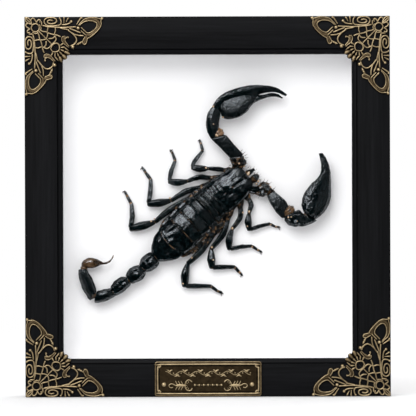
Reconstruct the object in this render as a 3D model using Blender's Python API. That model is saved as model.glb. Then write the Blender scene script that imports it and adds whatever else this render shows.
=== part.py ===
"""A dried forest scorpion mounted in a glazed black shadow box with brass corner ornaments.

The case stands upright on its bottom rail. World axes: X to the right, Z up, and the
glass faces -Y. The origin is under the middle of the bottom rail. Everything of the
scorpion is laid out in board coordinates: x to the right and y up from the middle of
the backing board, and h out of the board towards the glass.
"""

import math

import bmesh
import bpy
from mathutils import Vector

MM = 0.001
GAP = 0.3 * MM  # air left between neighbouring pieces

# Case
FRAME_WIDTH = 190.5 * MM
FRAME_HEIGHT = 197.8 * MM
FRAME_DEPTH = 28.0 * MM
RAIL_FACE = 19.8 * MM  # width of a rail seen from the front
REBATE = 13.0 * MM  # wood left beside the rebate that takes glass, liner and board
GLASS_BACK = 6.8 * MM  # depths below are measured from the front of the rails
GLASS_THICK = 2.0 * MM
BOARD_FRONT = 20.0 * MM
BOARD_THICK = 3.0 * MM
PANEL_THICK = 2.5 * MM
LINER_THICK = 6.2 * MM
MITRE_GAP = 0.22 * MM
FRONT_Y = -FRAME_DEPTH / 2
CENTRE_Z = FRAME_HEIGHT / 2

# Brass and steel trim
TRIM_THICK = 1.2 * MM
CORNER_INSET = 0.3 * MM
PLATE_WIDTH = 55.4 * MM
PLATE_HEIGHT = 18.2 * MM
PLATE_THICK = 0.8 * MM
PLATE_CENTRE_Z = 9.3 * MM
PIN_LEFT_X = -23.0 * MM
PIN_RIGHT_X = 22.8 * MM
PIN_DROP = 2.9 * MM
PIN_LENGTH = 5.0 * MM
HOLE_DEPTH = 5.5 * MM
PIN_HEAD_RADIUS = 1.15 * MM
PIN_SHANK_RADIUS = 0.5 * MM
HANGER_WIDTH = 44.0 * MM
HANGER_HEIGHT = 9.0 * MM
HANGER_THICK = 0.8 * MM
HANGER_TEETH = 9
HANGER_Z = FRAME_HEIGHT - 10.0 * MM
NAIL_SPAN = 37.0 * MM
HEAD_RISE = 0.8 * MM
TAB_WIDTH = 8.0 * MM
TAB_LENGTH = 15.0 * MM
TAB_THICK = 0.6 * MM
TAB_ROOT = 6.0 * MM  # how deep a tab sits in its rail

# Scorpion, in board millimetres
WAIST = (4.0, 3.4)  # back edge of the carapace on the body's middle line
CARAPACE_HEADING = 37.4  # degrees above the board's x axis
ABDOMEN_HEADING = 43.5
PLATE_UNDERSIDE = 4.7


def clear_scene():
    for obj in list(bpy.data.objects):
        bpy.data.objects.remove(obj, do_unlink=True)


def finish(name, colour, roughness, metallic=0.0):
    material = bpy.data.materials.get(name)
    if material:
        return material
    material = bpy.data.materials.new(name)
    material.use_nodes = True
    shader = material.node_tree.nodes["Principled BSDF"]
    shader.inputs["Base Color"].default_value = (*colour, 1.0)
    shader.inputs["Roughness"].default_value = roughness
    shader.inputs["Metallic"].default_value = metallic
    return material


def black_wood():
    return finish("satin_black_wood", (0.012, 0.012, 0.014), 0.42)


def antique_brass():
    return finish("antique_brass", (0.42, 0.33, 0.18), 0.38, 1.0)


def steel():
    return finish("zinc_plated_steel", (0.55, 0.55, 0.56), 0.35, 1.0)


def white_card():
    return finish("white_card", (0.82, 0.82, 0.82), 0.85)


def hardboard():
    return finish("brown_hardboard", (0.16, 0.10, 0.06), 0.75)


def clear_glass():
    material = finish("clear_glass", (0.95, 0.97, 0.96), 0.03)
    shader = material.node_tree.nodes["Principled BSDF"]
    shader.inputs["Transmission Weight"].default_value = 1.0
    return material


def black_cuticle():
    return finish("blue_black_cuticle", (0.010, 0.016, 0.018), 0.32)


def brown_cuticle():
    return finish("brown_cuticle", (0.075, 0.045, 0.025), 0.45)


def add_object(name, mesh, material, parent=None, location=(0, 0, 0), smooth=True):
    mesh.materials.append(material)
    if smooth:
        mesh.shade_smooth()
        mesh.set_sharp_from_angle(angle=math.radians(40))
    obj = bpy.data.objects.new(name, mesh)
    obj.location = location
    obj.parent = parent
    bpy.context.scene.collection.objects.link(obj)
    return obj


def solid_from_rings(name, rings):
    """Mesh of a closed solid through rings of equally many points, capped at both ends."""
    bm = bmesh.new()
    loops = [[bm.verts.new(point) for point in ring] for ring in rings]
    for ring_a, ring_b in zip(loops, loops[1:]):
        for i in range(len(ring_a)):
            j = (i + 1) % len(ring_a)
            bm.faces.new((ring_a[i], ring_a[j], ring_b[j], ring_b[i]))
    bm.faces.new(loops[0])
    bm.faces.new(loops[-1])
    bmesh.ops.recalc_face_normals(bm, faces=bm.faces)
    mesh = bpy.data.meshes.new(name)
    bm.to_mesh(mesh)
    bm.free()
    return mesh


def slab(name, size, location, material):
    """A plain rectangular sheet."""
    x, y, z = (side / 2 for side in size)
    rings = [[(-x, d, -z), (x, d, -z), (x, d, z), (-x, d, z)] for d in (-y, y)]
    return add_object(name, solid_from_rings(name, rings), material, None, location, smooth=False)


def cut(target, cutter):
    """Takes the cutter's shape out of the target and keeps the cutter as a hidden guide."""
    cutter.hide_render = True
    cutter.display_type = "WIRE"
    boolean = target.modifiers.new("cut_" + cutter.name, "BOOLEAN")
    boolean.operation = "DIFFERENCE"
    boolean.object = cutter


def turned(name, profile, sides, material, location, facing):
    """A small turned piece: (radius, depth) pairs from front to back, facing -Y or +Y."""
    rings = []
    for radius, depth in profile:
        angles = [2 * math.pi * k / sides for k in range(sides)]
        rings.append([(radius * math.cos(a), facing * depth, radius * math.sin(a)) for a in angles])
    return add_object(name, solid_from_rings(name, rings), material, None, location)


def flat_outline(name, outlines, thick, material, location):
    """An upright sheet cut to closed outlines, the first one its edge and the others its holes."""
    curve = bpy.data.curves.new(name, "CURVE")
    curve.dimensions = "2D"
    curve.fill_mode = "BOTH"
    curve.extrude = thick / 2
    for outline in outlines:
        spline = curve.splines.new("POLY")
        spline.points.add(len(outline) - 1)
        for point, (x, y) in zip(spline.points, outline):
            point.co = (x, y, 0, 1)
        spline.use_cyclic_u = True
    curve.materials.append(material)
    obj = bpy.data.objects.new(name, curve)
    obj.location = location
    obj.rotation_euler = (math.pi / 2, 0, 0)
    bpy.context.scene.collection.objects.link(obj)
    return obj


# Frame


def rail_profile():
    """Section of a rail as (distance in from the outer edge, depth behind the front)."""
    groove = RAIL_FACE - 2.8 * MM
    lip_back = GLASS_BACK - GLASS_THICK - GAP
    return [
        (0, FRAME_DEPTH),
        (0, 1.0 * MM),
        (0.3 * MM, 0.3 * MM),
        (1.0 * MM, 0),
        (groove, 0),
        (groove + 0.2 * MM, 0.9 * MM),
        (groove + 0.5 * MM, 0.5 * MM),
        (RAIL_FACE - 0.3 * MM, 1.5 * MM),
        (RAIL_FACE, 1.9 * MM),
        (RAIL_FACE, lip_back),
        (REBATE, lip_back),
        (REBATE, FRAME_DEPTH),
    ]


def add_rail(name, length, reach, turn):
    """One mitred rail. Its outer edge lies at reach from the frame's middle."""
    rings = []
    for side in (-1, 1):
        rings.append(
            [
                (side * (length / 2 - inward - MITRE_GAP), FRONT_Y + depth, reach - inward)
                for inward, depth in rail_profile()
            ]
        )
    mesh = solid_from_rings(name, rings)
    rail = add_object(name, mesh, black_wood(), None, (0, 0, CENTRE_Z), smooth=False)
    rail.rotation_euler = (0, turn, 0)
    return rail


def add_liner(name, length, reach, turn):
    """One of four card strips that line the case between glass and board."""
    front = GLASS_BACK + GAP
    depth = BOARD_FRONT - GAP - front
    inner = reach - LINER_THICK
    rings = []
    for side in (-1, 1):
        ends = (length / 2 - GAP / 2, length / 2 - LINER_THICK - GAP / 2)
        rings.append(
            [
                (side * ends[0], FRONT_Y + front, reach),
                (side * ends[1], FRONT_Y + front, inner),
                (side * ends[1], FRONT_Y + front + depth, inner),
                (side * ends[0], FRONT_Y + front + depth, reach),
            ]
        )
    mesh = solid_from_rings(name, rings)
    liner = add_object(name, mesh, white_card(), None, (0, 0, CENTRE_Z), smooth=False)
    liner.rotation_euler = (0, turn, 0)


def add_back_tab(name, rail, reach, turn):
    """A springy steel tongue: its root sits in a slot in the rail, its tip on the panel."""
    panel_back = FRONT_Y + BOARD_FRONT + BOARD_THICK + GAP + PANEL_THICK
    root = reach - REBATE + TAB_ROOT
    y = panel_back + GAP + TAB_THICK / 2
    for kind, grow in (("", 0.0), ("_slot", GAP)):
        x = TAB_WIDTH / 2 + grow
        front, back = y - TAB_THICK / 2 - grow, y + TAB_THICK / 2 + grow
        rings = [
            [(-x, front, z), (x, front, z), (x, back, z), (-x, back, z)]
            for z in (root - TAB_LENGTH - grow, root + grow)
        ]
        mesh = solid_from_rings(name + kind, rings)
        piece = add_object(name + kind, mesh, steel(), None, (0, 0, CENTRE_Z), smooth=False)
        piece.rotation_euler = (0, turn, 0)
        if kind:
            cut(rail, piece)


def add_case():
    """Rails, glass, liner, backing board and back panel, and the tabs that hold the panel."""
    half_width, half_height = FRAME_WIDTH / 2, FRAME_HEIGHT / 2
    sides = (
        ("top", FRAME_WIDTH, half_height, half_width, 0.0),
        ("right", FRAME_HEIGHT, half_width, half_height, math.pi / 2),
        ("bottom", FRAME_WIDTH, half_height, half_width, math.pi),
        ("left", FRAME_HEIGHT, half_width, half_height, -math.pi / 2),
    )
    rails = {}
    for side, length, reach, cross_reach, turn in sides:
        rails[side] = add_rail("rail_" + side, length, reach, turn)
        liner_length = 2 * (cross_reach - REBATE - GAP)
        add_liner("liner_" + side, liner_length, reach - REBATE - GAP, turn)
        add_back_tab("back_tab_" + side, rails[side], reach, turn)
    width = FRAME_WIDTH - 2 * (REBATE + GAP)
    height = FRAME_HEIGHT - 2 * (REBATE + GAP)
    sheets = (
        ("glass_pane", GLASS_BACK - GLASS_THICK, GLASS_THICK, clear_glass()),
        ("backing_board", BOARD_FRONT, BOARD_THICK, white_card()),
        ("back_panel", BOARD_FRONT + BOARD_THICK + GAP, PANEL_THICK, hardboard()),
    )
    for name, depth, thick, material in sheets:
        centre = (0, FRONT_Y + depth + thick / 2, CENTRE_Z)
        slab(name, (width, thick, height), centre, material)
    return rails


# Corner ornaments, nameplate and hanger


def round_hole(x, y, radius):
    angles = [math.pi * k / 4 for k in range(8)]
    return [(x + radius * math.cos(a), y + radius * math.sin(a)) for a in angles]


def mirrored(half):
    """Closes half an outline across the corner's diagonal, where x equals y."""
    return half + [(y, x) for x, y in reversed(half) if abs(x - y) > 1e-6]


def ornament_outlines():
    """Pierced corner casting in millimetres, x and y running inwards from the corner."""
    edge = mirrored(
        [
            (0.3, 0.3), (2.3, 1.7), (4.2, 0.8), (5.6, 2.1), (7.4, 1.4), (9.7, 3.3), (10.8, 1.2),
            (13.4, 0.3), (16.2, 1.2), (17.3, 2.9), (17.7, 0.4), (20.5, 0.4), (22.8, 1.3), (24.6, 2.8),
            (26.8, 4.2), (28.8, 0.4), (30.2, 0.5), (30.4, 2.0), (32.6, 0.8), (35.2, 0.3), (38.7, 0.8),
            (40.6, 0.3), (41.4, 1.3), (40.4, 3.9), (39.0, 7.0), (36.2, 10.6), (33.6, 12.6), (31.8, 15.4),
            (30.4, 15.2), (30.9, 11.8), (28.3, 10.2), (28.1, 12.9), (28.9, 14.9), (27.2, 16.2),
            (24.6, 17.3), (22.9, 17.1), (23.3, 19.2), (21.7, 21.7),
        ]
    )
    loop = [(29.5, 5.8), (31.6, 3.3), (34.4, 2.3), (37.2, 3.2), (36.8, 5.6), (34.8, 8.1), (32.6, 8.6)]
    vine = [(23.8, 10.4), (25.9, 11.6), (25.9, 13.6), (24.0, 14.9), (21.9, 12.6)]
    stem_cell = [(17.2, 7.1), (20.6, 8.0), (20.0, 10.0), (16.9, 8.8)]
    small_cell = [(12.8, 6.4), (15.1, 6.7), (15.2, 9.9), (12.4, 11.2)]
    holes = [loop, vine, stem_cell, small_cell]
    holes += [[(y, x) for x, y in hole] for hole in holes]
    holes += [round_hole(centre, centre, radius) for centre, radius in ((5.9, 1.0), (16.3, 1.2))]
    return [edge] + holes


def add_corner_ornaments():
    """Four cast brass ornaments, each a mirror image of its neighbours."""
    reach_x = FRAME_WIDTH / 2 - CORNER_INSET
    reach_z = FRAME_HEIGHT / 2 - CORNER_INSET
    y = FRONT_Y - GAP - TRIM_THICK / 2
    for row, up in (("top", 1), ("bottom", -1)):
        for column, right in (("left", -1), ("right", 1)):
            outlines = [
                [(right * (reach_x - px * MM), up * (reach_z - pz * MM)) for px, pz in outline]
                for outline in ornament_outlines()
            ]
            name = f"corner_ornament_{row}_{column}"
            flat_outline(name, outlines, TRIM_THICK, antique_brass(), (0, y, CENTRE_Z))


def clipped_rectangle(width, height, corner):
    """Rectangle with its corners cut off, in order round the middle."""
    x, z = width / 2, height / 2
    return [
        (-x + corner, -z), (x - corner, -z), (x, -z + corner), (x, z - corner),
        (x - corner, z), (-x + corner, z), (-x, z - corner), (-x, -z + corner),
    ]


def add_pin(name, x, z, surface, facing):
    """A domed pin or nail: head on the trim, shank through it and into a hole in the rail."""
    shank = [(PIN_SHANK_RADIUS, -0.2 * MM), (PIN_SHANK_RADIUS, -PIN_LENGTH)]
    top = HEAD_RISE + GAP
    head = [(0.25 * PIN_HEAD_RADIUS, top), (0.75 * PIN_HEAD_RADIUS, 0.75 * top)]
    head += [(PIN_HEAD_RADIUS, 0.55 * top), (PIN_HEAD_RADIUS, GAP), (PIN_SHANK_RADIUS, GAP)]
    material = steel() if facing > 0 else antique_brass()
    turned(name, head + shank, 10, material, (x, surface, z), facing)


def add_hole(target, name, x, y, z):
    """Drills a pin hole along Y, to the same depth either side of the given point."""
    radius = PIN_SHANK_RADIUS + GAP
    profile = [(radius, HOLE_DEPTH), (radius, -HOLE_DEPTH)]
    cutter = turned(name, profile, 10, steel(), (x, y, z), 1)
    cut(target, cutter)


def add_nameplate(rail):
    """Blank brass plate with a raised rim and an inner bead, on two domed pins."""
    steps = ((0, 0), (0, 1.2), (0.9, 1.2), (1.1, 0.8), (1.9, 0.8), (2.1, 1.1), (2.6, 1.1), (2.8, 0.8))
    loops = []
    for inset, rise in steps:
        corner = (1.0 + 0.5 * inset) * MM
        size = (PLATE_WIDTH - 2 * inset * MM, PLATE_HEIGHT - 2 * inset * MM)
        loops.append([(x, -rise * MM, z) for x, z in clipped_rectangle(*size, corner)])
    mesh = solid_from_rings("nameplate", loops)
    y = FRONT_Y - GAP
    plate = add_object("nameplate", mesh, antique_brass(), None, (0, y, PLATE_CENTRE_Z), smooth=False)
    pin_z = PLATE_CENTRE_Z - PIN_DROP
    for side, x in (("left", PIN_LEFT_X), ("right", PIN_RIGHT_X)):
        add_pin(f"nameplate_pin_{side}", x, pin_z, y - PLATE_THICK, -1)
        add_hole(plate, f"plate_hole_{side}", x, y, pin_z)
        add_hole(rail, f"rail_hole_{side}", x, FRONT_Y, pin_z)


def add_hanger(rail):
    """Sawtooth hanger with two nails on the back of the top rail."""
    half, height = HANGER_WIDTH / 2, HANGER_HEIGHT
    outline = [(-half, 0.3 * height), (-half, height), (half, height), (half, 0.3 * height)]
    pitch = 0.7 * HANGER_WIDTH / HANGER_TEETH
    start = pitch * HANGER_TEETH / 2
    for k in range(HANGER_TEETH):
        x = start - k * pitch
        outline += [(x, 0.15 * height), (x - pitch / 2, 0.42 * height)]
    outline.append((-start, 0.15 * height))
    nail_height = 0.65 * height
    holes = [round_hole(x, nail_height, PIN_SHANK_RADIUS + GAP) for x in (-NAIL_SPAN / 2, NAIL_SPAN / 2)]
    back = -FRONT_Y
    centre = (0, back + GAP + HANGER_THICK / 2, HANGER_Z - nail_height)
    flat_outline("hanger", [outline] + holes, HANGER_THICK, steel(), centre)
    for side, x in (("left", -NAIL_SPAN / 2), ("right", NAIL_SPAN / 2)):
        add_pin(f"hanger_nail_{side}", x, HANGER_Z, back + GAP + HANGER_THICK, 1)
        add_hole(rail, f"nail_hole_{side}", x, back, HANGER_Z)


# Scorpion


def add_specimen_empty():
    """Parent of the scorpion: its X and Y lie in the board and its Z points at the glass."""
    empty = bpy.data.objects.new("specimen", None)
    empty.location = (0, FRONT_Y + BOARD_FRONT, CENTRE_Z)
    empty.rotation_euler = (math.pi / 2, 0, 0)
    bpy.context.scene.collection.objects.link(empty)
    return empty


def smooth_between(rows, steps):
    """Catmull-Rom rows through the given ones, with steps to each stretch."""
    out = []
    last = len(rows) - 1
    for i in range(last):
        before, a, b, after = rows[max(i - 1, 0)], rows[i], rows[i + 1], rows[min(i + 2, last)]
        for k in range(steps):
            t = k / steps
            weights = (
                -0.5 * t + t * t - 0.5 * t**3,
                1 - 2.5 * t * t + 1.5 * t**3,
                0.5 * t + 2 * t * t - 1.5 * t**3,
                -0.5 * t * t + 0.5 * t**3,
            )
            out.append([sum(w * p for w, p in zip(weights, column)) for column in zip(before, a, b, after)])
    out.append(list(rows[-1]))
    return out


def add_body(name, specimen, sections, material, sides=10, squareness=2.4, steps=2):
    """A closed limb or segment through sections. Each section gives its two edges in the
    plane of the board, the height of its middle and its thickness: (x1, y1), (x2, y2), h, t.
    A cross-section is a superellipse of the given squareness."""
    flat = [[*left, *right, h, thick] for left, right, h, thick in sections]
    rows = smooth_between(flat, steps)
    origin = Vector(((rows[0][0] + rows[0][2]) / 2, (rows[0][1] + rows[0][3]) / 2, rows[0][4])) * MM
    rings = []
    for x1, y1, x2, y2, h, thick in rows:
        centre = Vector(((x1 + x2) / 2, (y1 + y2) / 2, h)) * MM
        half = Vector(((x2 - x1) / 2, (y2 - y1) / 2, 0)) * MM
        up = Vector((0, 0, thick / 2)) * MM
        ring = []
        for k in range(sides):
            angle = 2 * math.pi * k / sides
            c = math.copysign(abs(math.cos(angle)) ** (2 / squareness), math.cos(angle))
            s = math.copysign(abs(math.sin(angle)) ** (2 / squareness), math.sin(angle))
            ring.append(centre + half * c + up * s - origin)
        rings.append(ring)
    return add_object(name, solid_from_rings(name, rings), material, specimen, origin)


def body_point(heading, s, w, h):
    """Board point at s mm forward of the waist and w mm to the animal's right, in metres."""
    angle = math.radians(heading)
    x = WAIST[0] + s * math.cos(angle) + w * math.sin(angle)
    y = WAIST[1] + s * math.sin(angle) - w * math.cos(angle)
    return Vector((x, y, h)) * MM


def add_shield(name, specimen, headings, rows, across=9, notch=0.0, groove=0.0):
    """A domed back plate. Each row from back to front gives its place along the body, half
    width, crown height, rim height and the forward bow of its middle, in millimetres. The
    headings are those of its back and front rows."""
    origin = body_point(headings[0], rows[0][0], 0, PLATE_UNDERSIDE)
    rings = []
    for number, (s, half_width, crown, rim, bow) in enumerate(rows):
        share = number / (len(rows) - 1)
        heading = headings[0] + (headings[1] - headings[0]) * share
        ring = []
        for k in range(across):
            t = 2 * k / (across - 1) - 1
            along = s + bow * (1 - t * t) - notch * share**6 * math.exp(-((t / 0.28) ** 2))
            dome = (1 - abs(t) ** 2.3) ** 0.8
            dip = groove * math.exp(-((t / 0.16) ** 2))
            ring.append(body_point(heading, along, t * half_width, rim + (crown - rim) * dome - dip) - origin)
        under = rim - 0.7
        for t in (1, 0, -1):
            along = s + bow * (1 - t * t) - notch * share**6 * (t == 0)
            ring.append(body_point(heading, along, t * half_width, under) - origin)
        rings.append(ring)
    return add_object(name, solid_from_rings(name, rings), black_cuticle(), specimen, origin)


def add_carapace(specimen):
    """Head shield with a notched front, a middle furrow and steep sides."""
    rows = [
        (0.2, 9.2, 8.9, 5.4, 0.5),
        (4.0, 9.6, 9.3, 5.4, 0.3),
        (8.0, 9.3, 9.3, 5.5, 0.2),
        (12.0, 8.8, 9.0, 5.7, 0.1),
        (16.0, 8.0, 8.5, 6.0, 0.0),
        (19.0, 6.9, 8.0, 6.3, 0.2),
        (20.6, 5.4, 7.4, 6.4, 1.2),
    ]
    headings = (CARAPACE_HEADING, CARAPACE_HEADING)
    add_shield("carapace", specimen, headings, rows, across=13, notch=3.4, groove=0.7)


def add_tergites(specimen):
    """Six overlapping back plates. Each one is low in front and raised at its rear edge."""
    borders = [0.0, -3.6, -7.1, -12.0, -18.0, -24.5, -31.9]
    half_widths = [9.2, 9.4, 9.8, 10.3, 10.6, 10.7, 9.4]
    crowns = [8.5, 8.8, 9.2, 9.5, 9.6, 9.4, 8.6]
    for k in range(6):
        front, back = borders[k] - (0.3 if k else 0.2), borders[k + 1]
        rows = [
            (back, half_widths[k + 1], crowns[k + 1] + 0.25, 5.6, 0.5),
            ((front + back) / 2, (half_widths[k] + half_widths[k + 1]) / 2, crowns[k + 1], 5.5, 0.5),
            (front, half_widths[k], crowns[k] - 0.35, 5.4, 0.5),
        ]
        front_heading = ABDOMEN_HEADING if k else CARAPACE_HEADING
        add_shield(f"tergite_{k + 1}", specimen, (ABDOMEN_HEADING, front_heading), rows, across=11)


def body_section(heading, s, half_width, h, thick):
    """Section across the body, for add_body."""
    left = body_point(heading, s, -half_width, 0) / MM
    right = body_point(heading, s, half_width, 0) / MM
    return ((left.x, left.y), (right.x, right.y), h, thick)


def add_trunk(specimen):
    """Belly under the back plates, and the tapering seventh abdominal segment."""
    belly = [
        body_section(CARAPACE_HEADING, 15.0, 4.8, 2.8, 3.0),
        body_section(CARAPACE_HEADING, 8.0, 5.8, 2.6, 3.4),
        body_section(ABDOMEN_HEADING, -1.0, 6.2, 2.6, 3.4),
        body_section(ABDOMEN_HEADING, -14.0, 7.6, 2.6, 3.4),
        body_section(ABDOMEN_HEADING, -24.0, 8.0, 2.6, 3.4),
        body_section(ABDOMEN_HEADING, -31.5, 7.0, 2.7, 3.0),
    ]
    add_body("belly", specimen, belly, brown_cuticle(), steps=1)
    tapered = [
        body_section(ABDOMEN_HEADING, -32.4, 9.0, 4.9, 6.8),
        body_section(ABDOMEN_HEADING, -36.5, 8.2, 4.8, 6.6),
        body_section(ABDOMEN_HEADING, -40.2, 6.0, 4.7, 6.2),
        body_section(ABDOMEN_HEADING, -42.9, 3.6, 4.6, 5.2),
    ]
    add_body("tergite_7", specimen, tapered, black_cuticle(), sides=12)


def add_tail(specimen):
    """Five keeled tail segments, curling round, and the venom bulb with its sting."""
    segments = [
        [((-30.2, -24.2), (-25.8, -29.6)), ((-32.9, -25.2), (-26.6, -31.8)),
         ((-35.0, -27.4), (-29.5, -33.7)), ((-35.6, -30.0), (-31.9, -33.8))],
        [((-36.1, -30.8), (-32.7, -34.4)), ((-38.9, -31.3), (-32.9, -36.3)),
         ((-41.5, -33.1), (-35.5, -38.9)), ((-42.7, -36.0), (-39.5, -40.0))],
        [((-43.2, -37.0), (-40.5, -40.4)), ((-45.7, -37.0), (-41.6, -42.3)),
         ((-48.9, -39.1), (-44.4, -44.7)), ((-50.6, -42.0), (-48.4, -46.3))],
        [((-50.9, -43.0), (-49.1, -46.7)), ((-54.1, -43.2), (-51.0, -48.3)),
         ((-57.3, -44.0), (-54.9, -49.8)), ((-58.3, -45.5), (-59.0, -49.9))],
        [((-58.6, -44.3), (-61.6, -48.6)), ((-59.1, -41.2), (-65.1, -44.1)),
         ((-60.4, -38.1), (-66.9, -39.4)), ((-62.5, -34.5), (-67.7, -35.4)),
         ((-63.4, -32.9), (-67.5, -33.2))],
    ]
    middles = [4.7, 4.8, 4.8, 4.7, 4.6]
    thickness = [6.4, 6.4, 6.2, 5.8, 5.6]
    for k, pairs in enumerate(segments):
        ends = (0, len(pairs) - 1)
        sections = [
            (left, right, middles[k], thickness[k] * (0.82 if i in ends else 1.0))
            for i, (left, right) in enumerate(pairs)
        ]
        add_body(f"tail_segment_{k + 1}", specimen, sections, black_cuticle(), sides=12, squareness=3.0)
    telson = [
        ((-63.6, -32.2), (-66.3, -31.5), 4.6, 3.2), ((-62.5, -32.0), (-65.7, -28.6), 4.6, 4.4),
        ((-60.6, -32.1), (-62.5, -26.7), 4.6, 5.2), ((-58.3, -31.6), (-59.1, -27.0), 4.6, 4.8),
        ((-56.5, -30.6), (-56.3, -28.2), 4.5, 3.0), ((-54.9, -30.3), (-54.9, -29.1), 4.4, 1.6),
        ((-52.8, -29.9), (-53.2, -28.9), 4.2, 1.1), ((-50.9, -28.7), (-51.6, -28.1), 4.0, 0.9),
        ((-49.5, -26.6), (-50.2, -26.4), 3.8, 0.6), ((-49.3, -25.2), (-49.6, -25.2), 3.7, 0.3),
    ]
    add_body("telson", specimen, telson, brown_cuticle(), sides=8, squareness=2.0, steps=1)


def add_mouthparts(specimen):
    """Two short pincers that reach out under the notched front of the carapace."""
    left = [((18.9, 17.6), (20.3, 15.4), 4.0, 2.4), ((21.2, 19.2), (22.6, 16.6), 4.8, 3.2),
            ((24.3, 19.9), (24.7, 18.8), 4.2, 1.2)]
    right = [((21.2, 13.9), (23.0, 12.0), 4.0, 2.4), ((23.7, 16.4), (25.8, 13.0), 4.8, 3.2),
             ((25.9, 17.0), (27.1, 15.4), 4.2, 1.2)]
    add_body("left_chelicera", specimen, left, brown_cuticle(), sides=8)
    add_body("right_chelicera", specimen, right, brown_cuticle(), sides=8)


def add_left_arm(specimen):
    """Left pedipalp: raised off the board, bent up and round to the large claw."""
    pieces = {
        "left_arm_base": [
            ((17.2, 17.8), (13.2, 18.6), 2.6, 3.0), ((18.8, 20.3), (13.1, 20.8), 3.6, 4.2),
            ((19.9, 22.6), (12.3, 22.6), 4.8, 5.0), ((19.3, 26.1), (11.7, 24.6), 5.6, 5.0)],
        "left_arm_femur": [
            ((18.6, 27.3), (11.5, 25.7), 5.8, 5.0), ((14.2, 32.2), (6.9, 30.5), 6.2, 5.6),
            ((10.3, 36.6), (2.6, 34.3), 6.6, 5.2)],
        "left_arm_patella": [
            ((1.7, 35.4), (5.9, 39.5), 6.8, 4.6), ((-0.1, 39.6), (6.0, 41.2), 7.0, 6.0),
            ((-0.7, 43.5), (6.3, 44.5), 7.2, 6.4), ((0.0, 48.2), (6.7, 47.9), 7.4, 6.0),
            ((2.5, 52.0), (6.7, 50.3), 7.6, 4.4)],
        "left_claw": [
            ((3.8, 53.7), (7.9, 51.6), 7.7, 4.6), ((6.2, 56.8), (8.8, 46.8), 7.7, 7.4),
            ((11.4, 60.2), (13.2, 45.8), 7.7, 8.8), ((17.2, 62.3), (18.8, 48.1), 7.7, 8.6),
            ((22.2, 63.1), (23.1, 52.6), 7.5, 6.8), ((25.0, 63.2), (25.4, 58.4), 7.4, 4.6),
            ((29.0, 63.0), (29.1, 59.3), 7.3, 3.6), ((33.4, 62.5), (33.3, 59.9), 7.1, 3.0),
            ((37.6, 60.9), (37.0, 59.7), 6.8, 2.2), ((41.6, 58.3), (41.2, 57.9), 6.4, 0.8)],
        "left_claw_finger": [
            ((25.7, 56.5), (26.3, 54.3), 7.0, 2.8), ((28.7, 57.9), (29.2, 56.0), 6.9, 3.0),
            ((32.9, 58.9), (33.4, 57.0), 6.8, 2.6), ((36.6, 58.6), (36.8, 56.9), 6.6, 2.0),
            ((39.5, 56.9), (39.1, 56.3), 6.3, 0.8)],
    }
    add_arm(specimen, pieces)


def add_right_arm(specimen):
    """Right pedipalp: reaches out to the side, with the claw pointing up."""
    pieces = {
        "right_arm_base": [
            ((21.4, 11.0), (19.7, 8.5), 2.6, 3.0), ((25.6, 10.6), (23.4, 6.6), 3.6, 4.2),
            ((28.9, 12.4), (26.4, 5.8), 4.8, 5.0), ((31.6, 12.0), (28.7, 5.4), 5.4, 5.0),
            ((33.8, 9.1), (30.4, 5.8), 5.6, 4.8)],
        "right_arm_femur": [
            ((34.9, 7.9), (31.2, 5.0), 5.8, 4.8), ((38.0, 5.4), (33.3, 0.7), 6.2, 5.6),
            ((40.9, 2.6), (36.1, -3.4), 6.4, 5.6), ((42.6, -0.6), (38.9, -6.2), 6.6, 4.8)],
        "right_arm_patella": [
            ((43.2, -1.3), (40.4, -7.8), 6.8, 4.8), ((45.0, -2.7), (43.2, -10.2), 7.0, 6.2),
            ((47.9, -2.0), (47.9, -10.6), 7.2, 6.6), ((49.8, -3.7), (52.6, -9.8), 7.3, 5.8),
            ((52.6, -6.2), (57.0, -7.5), 7.4, 3.8)],
        "right_claw": [
            ((50.8, -2.5), (56.0, -5.8), 7.6, 4.6), ((49.2, 0.8), (61.6, -2.0), 7.7, 7.8),
            ((50.4, 5.9), (64.2, 3.9), 7.7, 9.0), ((53.7, 11.1), (64.4, 9.7), 8.0, 7.6),
            ((57.6, 14.5), (64.2, 14.1), 8.6, 4.8), ((59.3, 17.9), (64.0, 18.1), 8.7, 3.6),
            ((59.5, 21.6), (63.3, 21.8), 8.5, 3.2), ((59.1, 24.7), (61.8, 25.2), 8.1, 2.4),
            ((58.5, 27.3), (60.3, 27.5), 7.6, 0.8)],
        "right_claw_finger": [
            ((58.9, 15.6), (63.5, 15.4), 4.2, 2.2), ((59.6, 18.2), (63.8, 18.3), 4.9, 2.8),
            ((59.7, 21.6), (63.1, 21.9), 5.2, 2.6), ((59.2, 24.6), (61.5, 25.1), 5.4, 2.0),
            ((58.6, 26.9), (59.9, 27.1), 5.8, 0.8)],
    }
    add_arm(specimen, pieces)


def add_arm(specimen, pieces):
    for name, sections in pieces.items():
        add_body(name, specimen, sections, black_cuticle(), squareness=2.2)


def add_leg(name, specimen, route, size):
    """A walking leg through nine points of its route: hip, femur, joint, patella, knee,
    tibia, ankle, foot and claw. Size scales its girth."""
    heights = (2.5, 2.9, 3.3, 3.6, 3.2, 2.7, 2.0, 1.4, 0.9)
    widths = (2.4, 3.2, 2.5, 4.3, 2.9, 2.6, 2.0, 1.6, 0.6)
    sections = []
    last = len(route) - 1
    for i, (x, y) in enumerate(route):
        before, after = route[max(i - 1, 0)], route[min(i + 1, last)]
        along = Vector((after[0] - before[0], after[1] - before[1])).normalized()
        half = Vector((-along.y, along.x)) * widths[i] * size / 2
        thick = 0.85 * widths[i] * size
        sections.append(((x - half.x, y - half.y), (x + half.x, y + half.y), heights[i], thick))
    add_body(name, specimen, sections, black_cuticle(), sides=8, squareness=2.0, steps=1)


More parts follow.
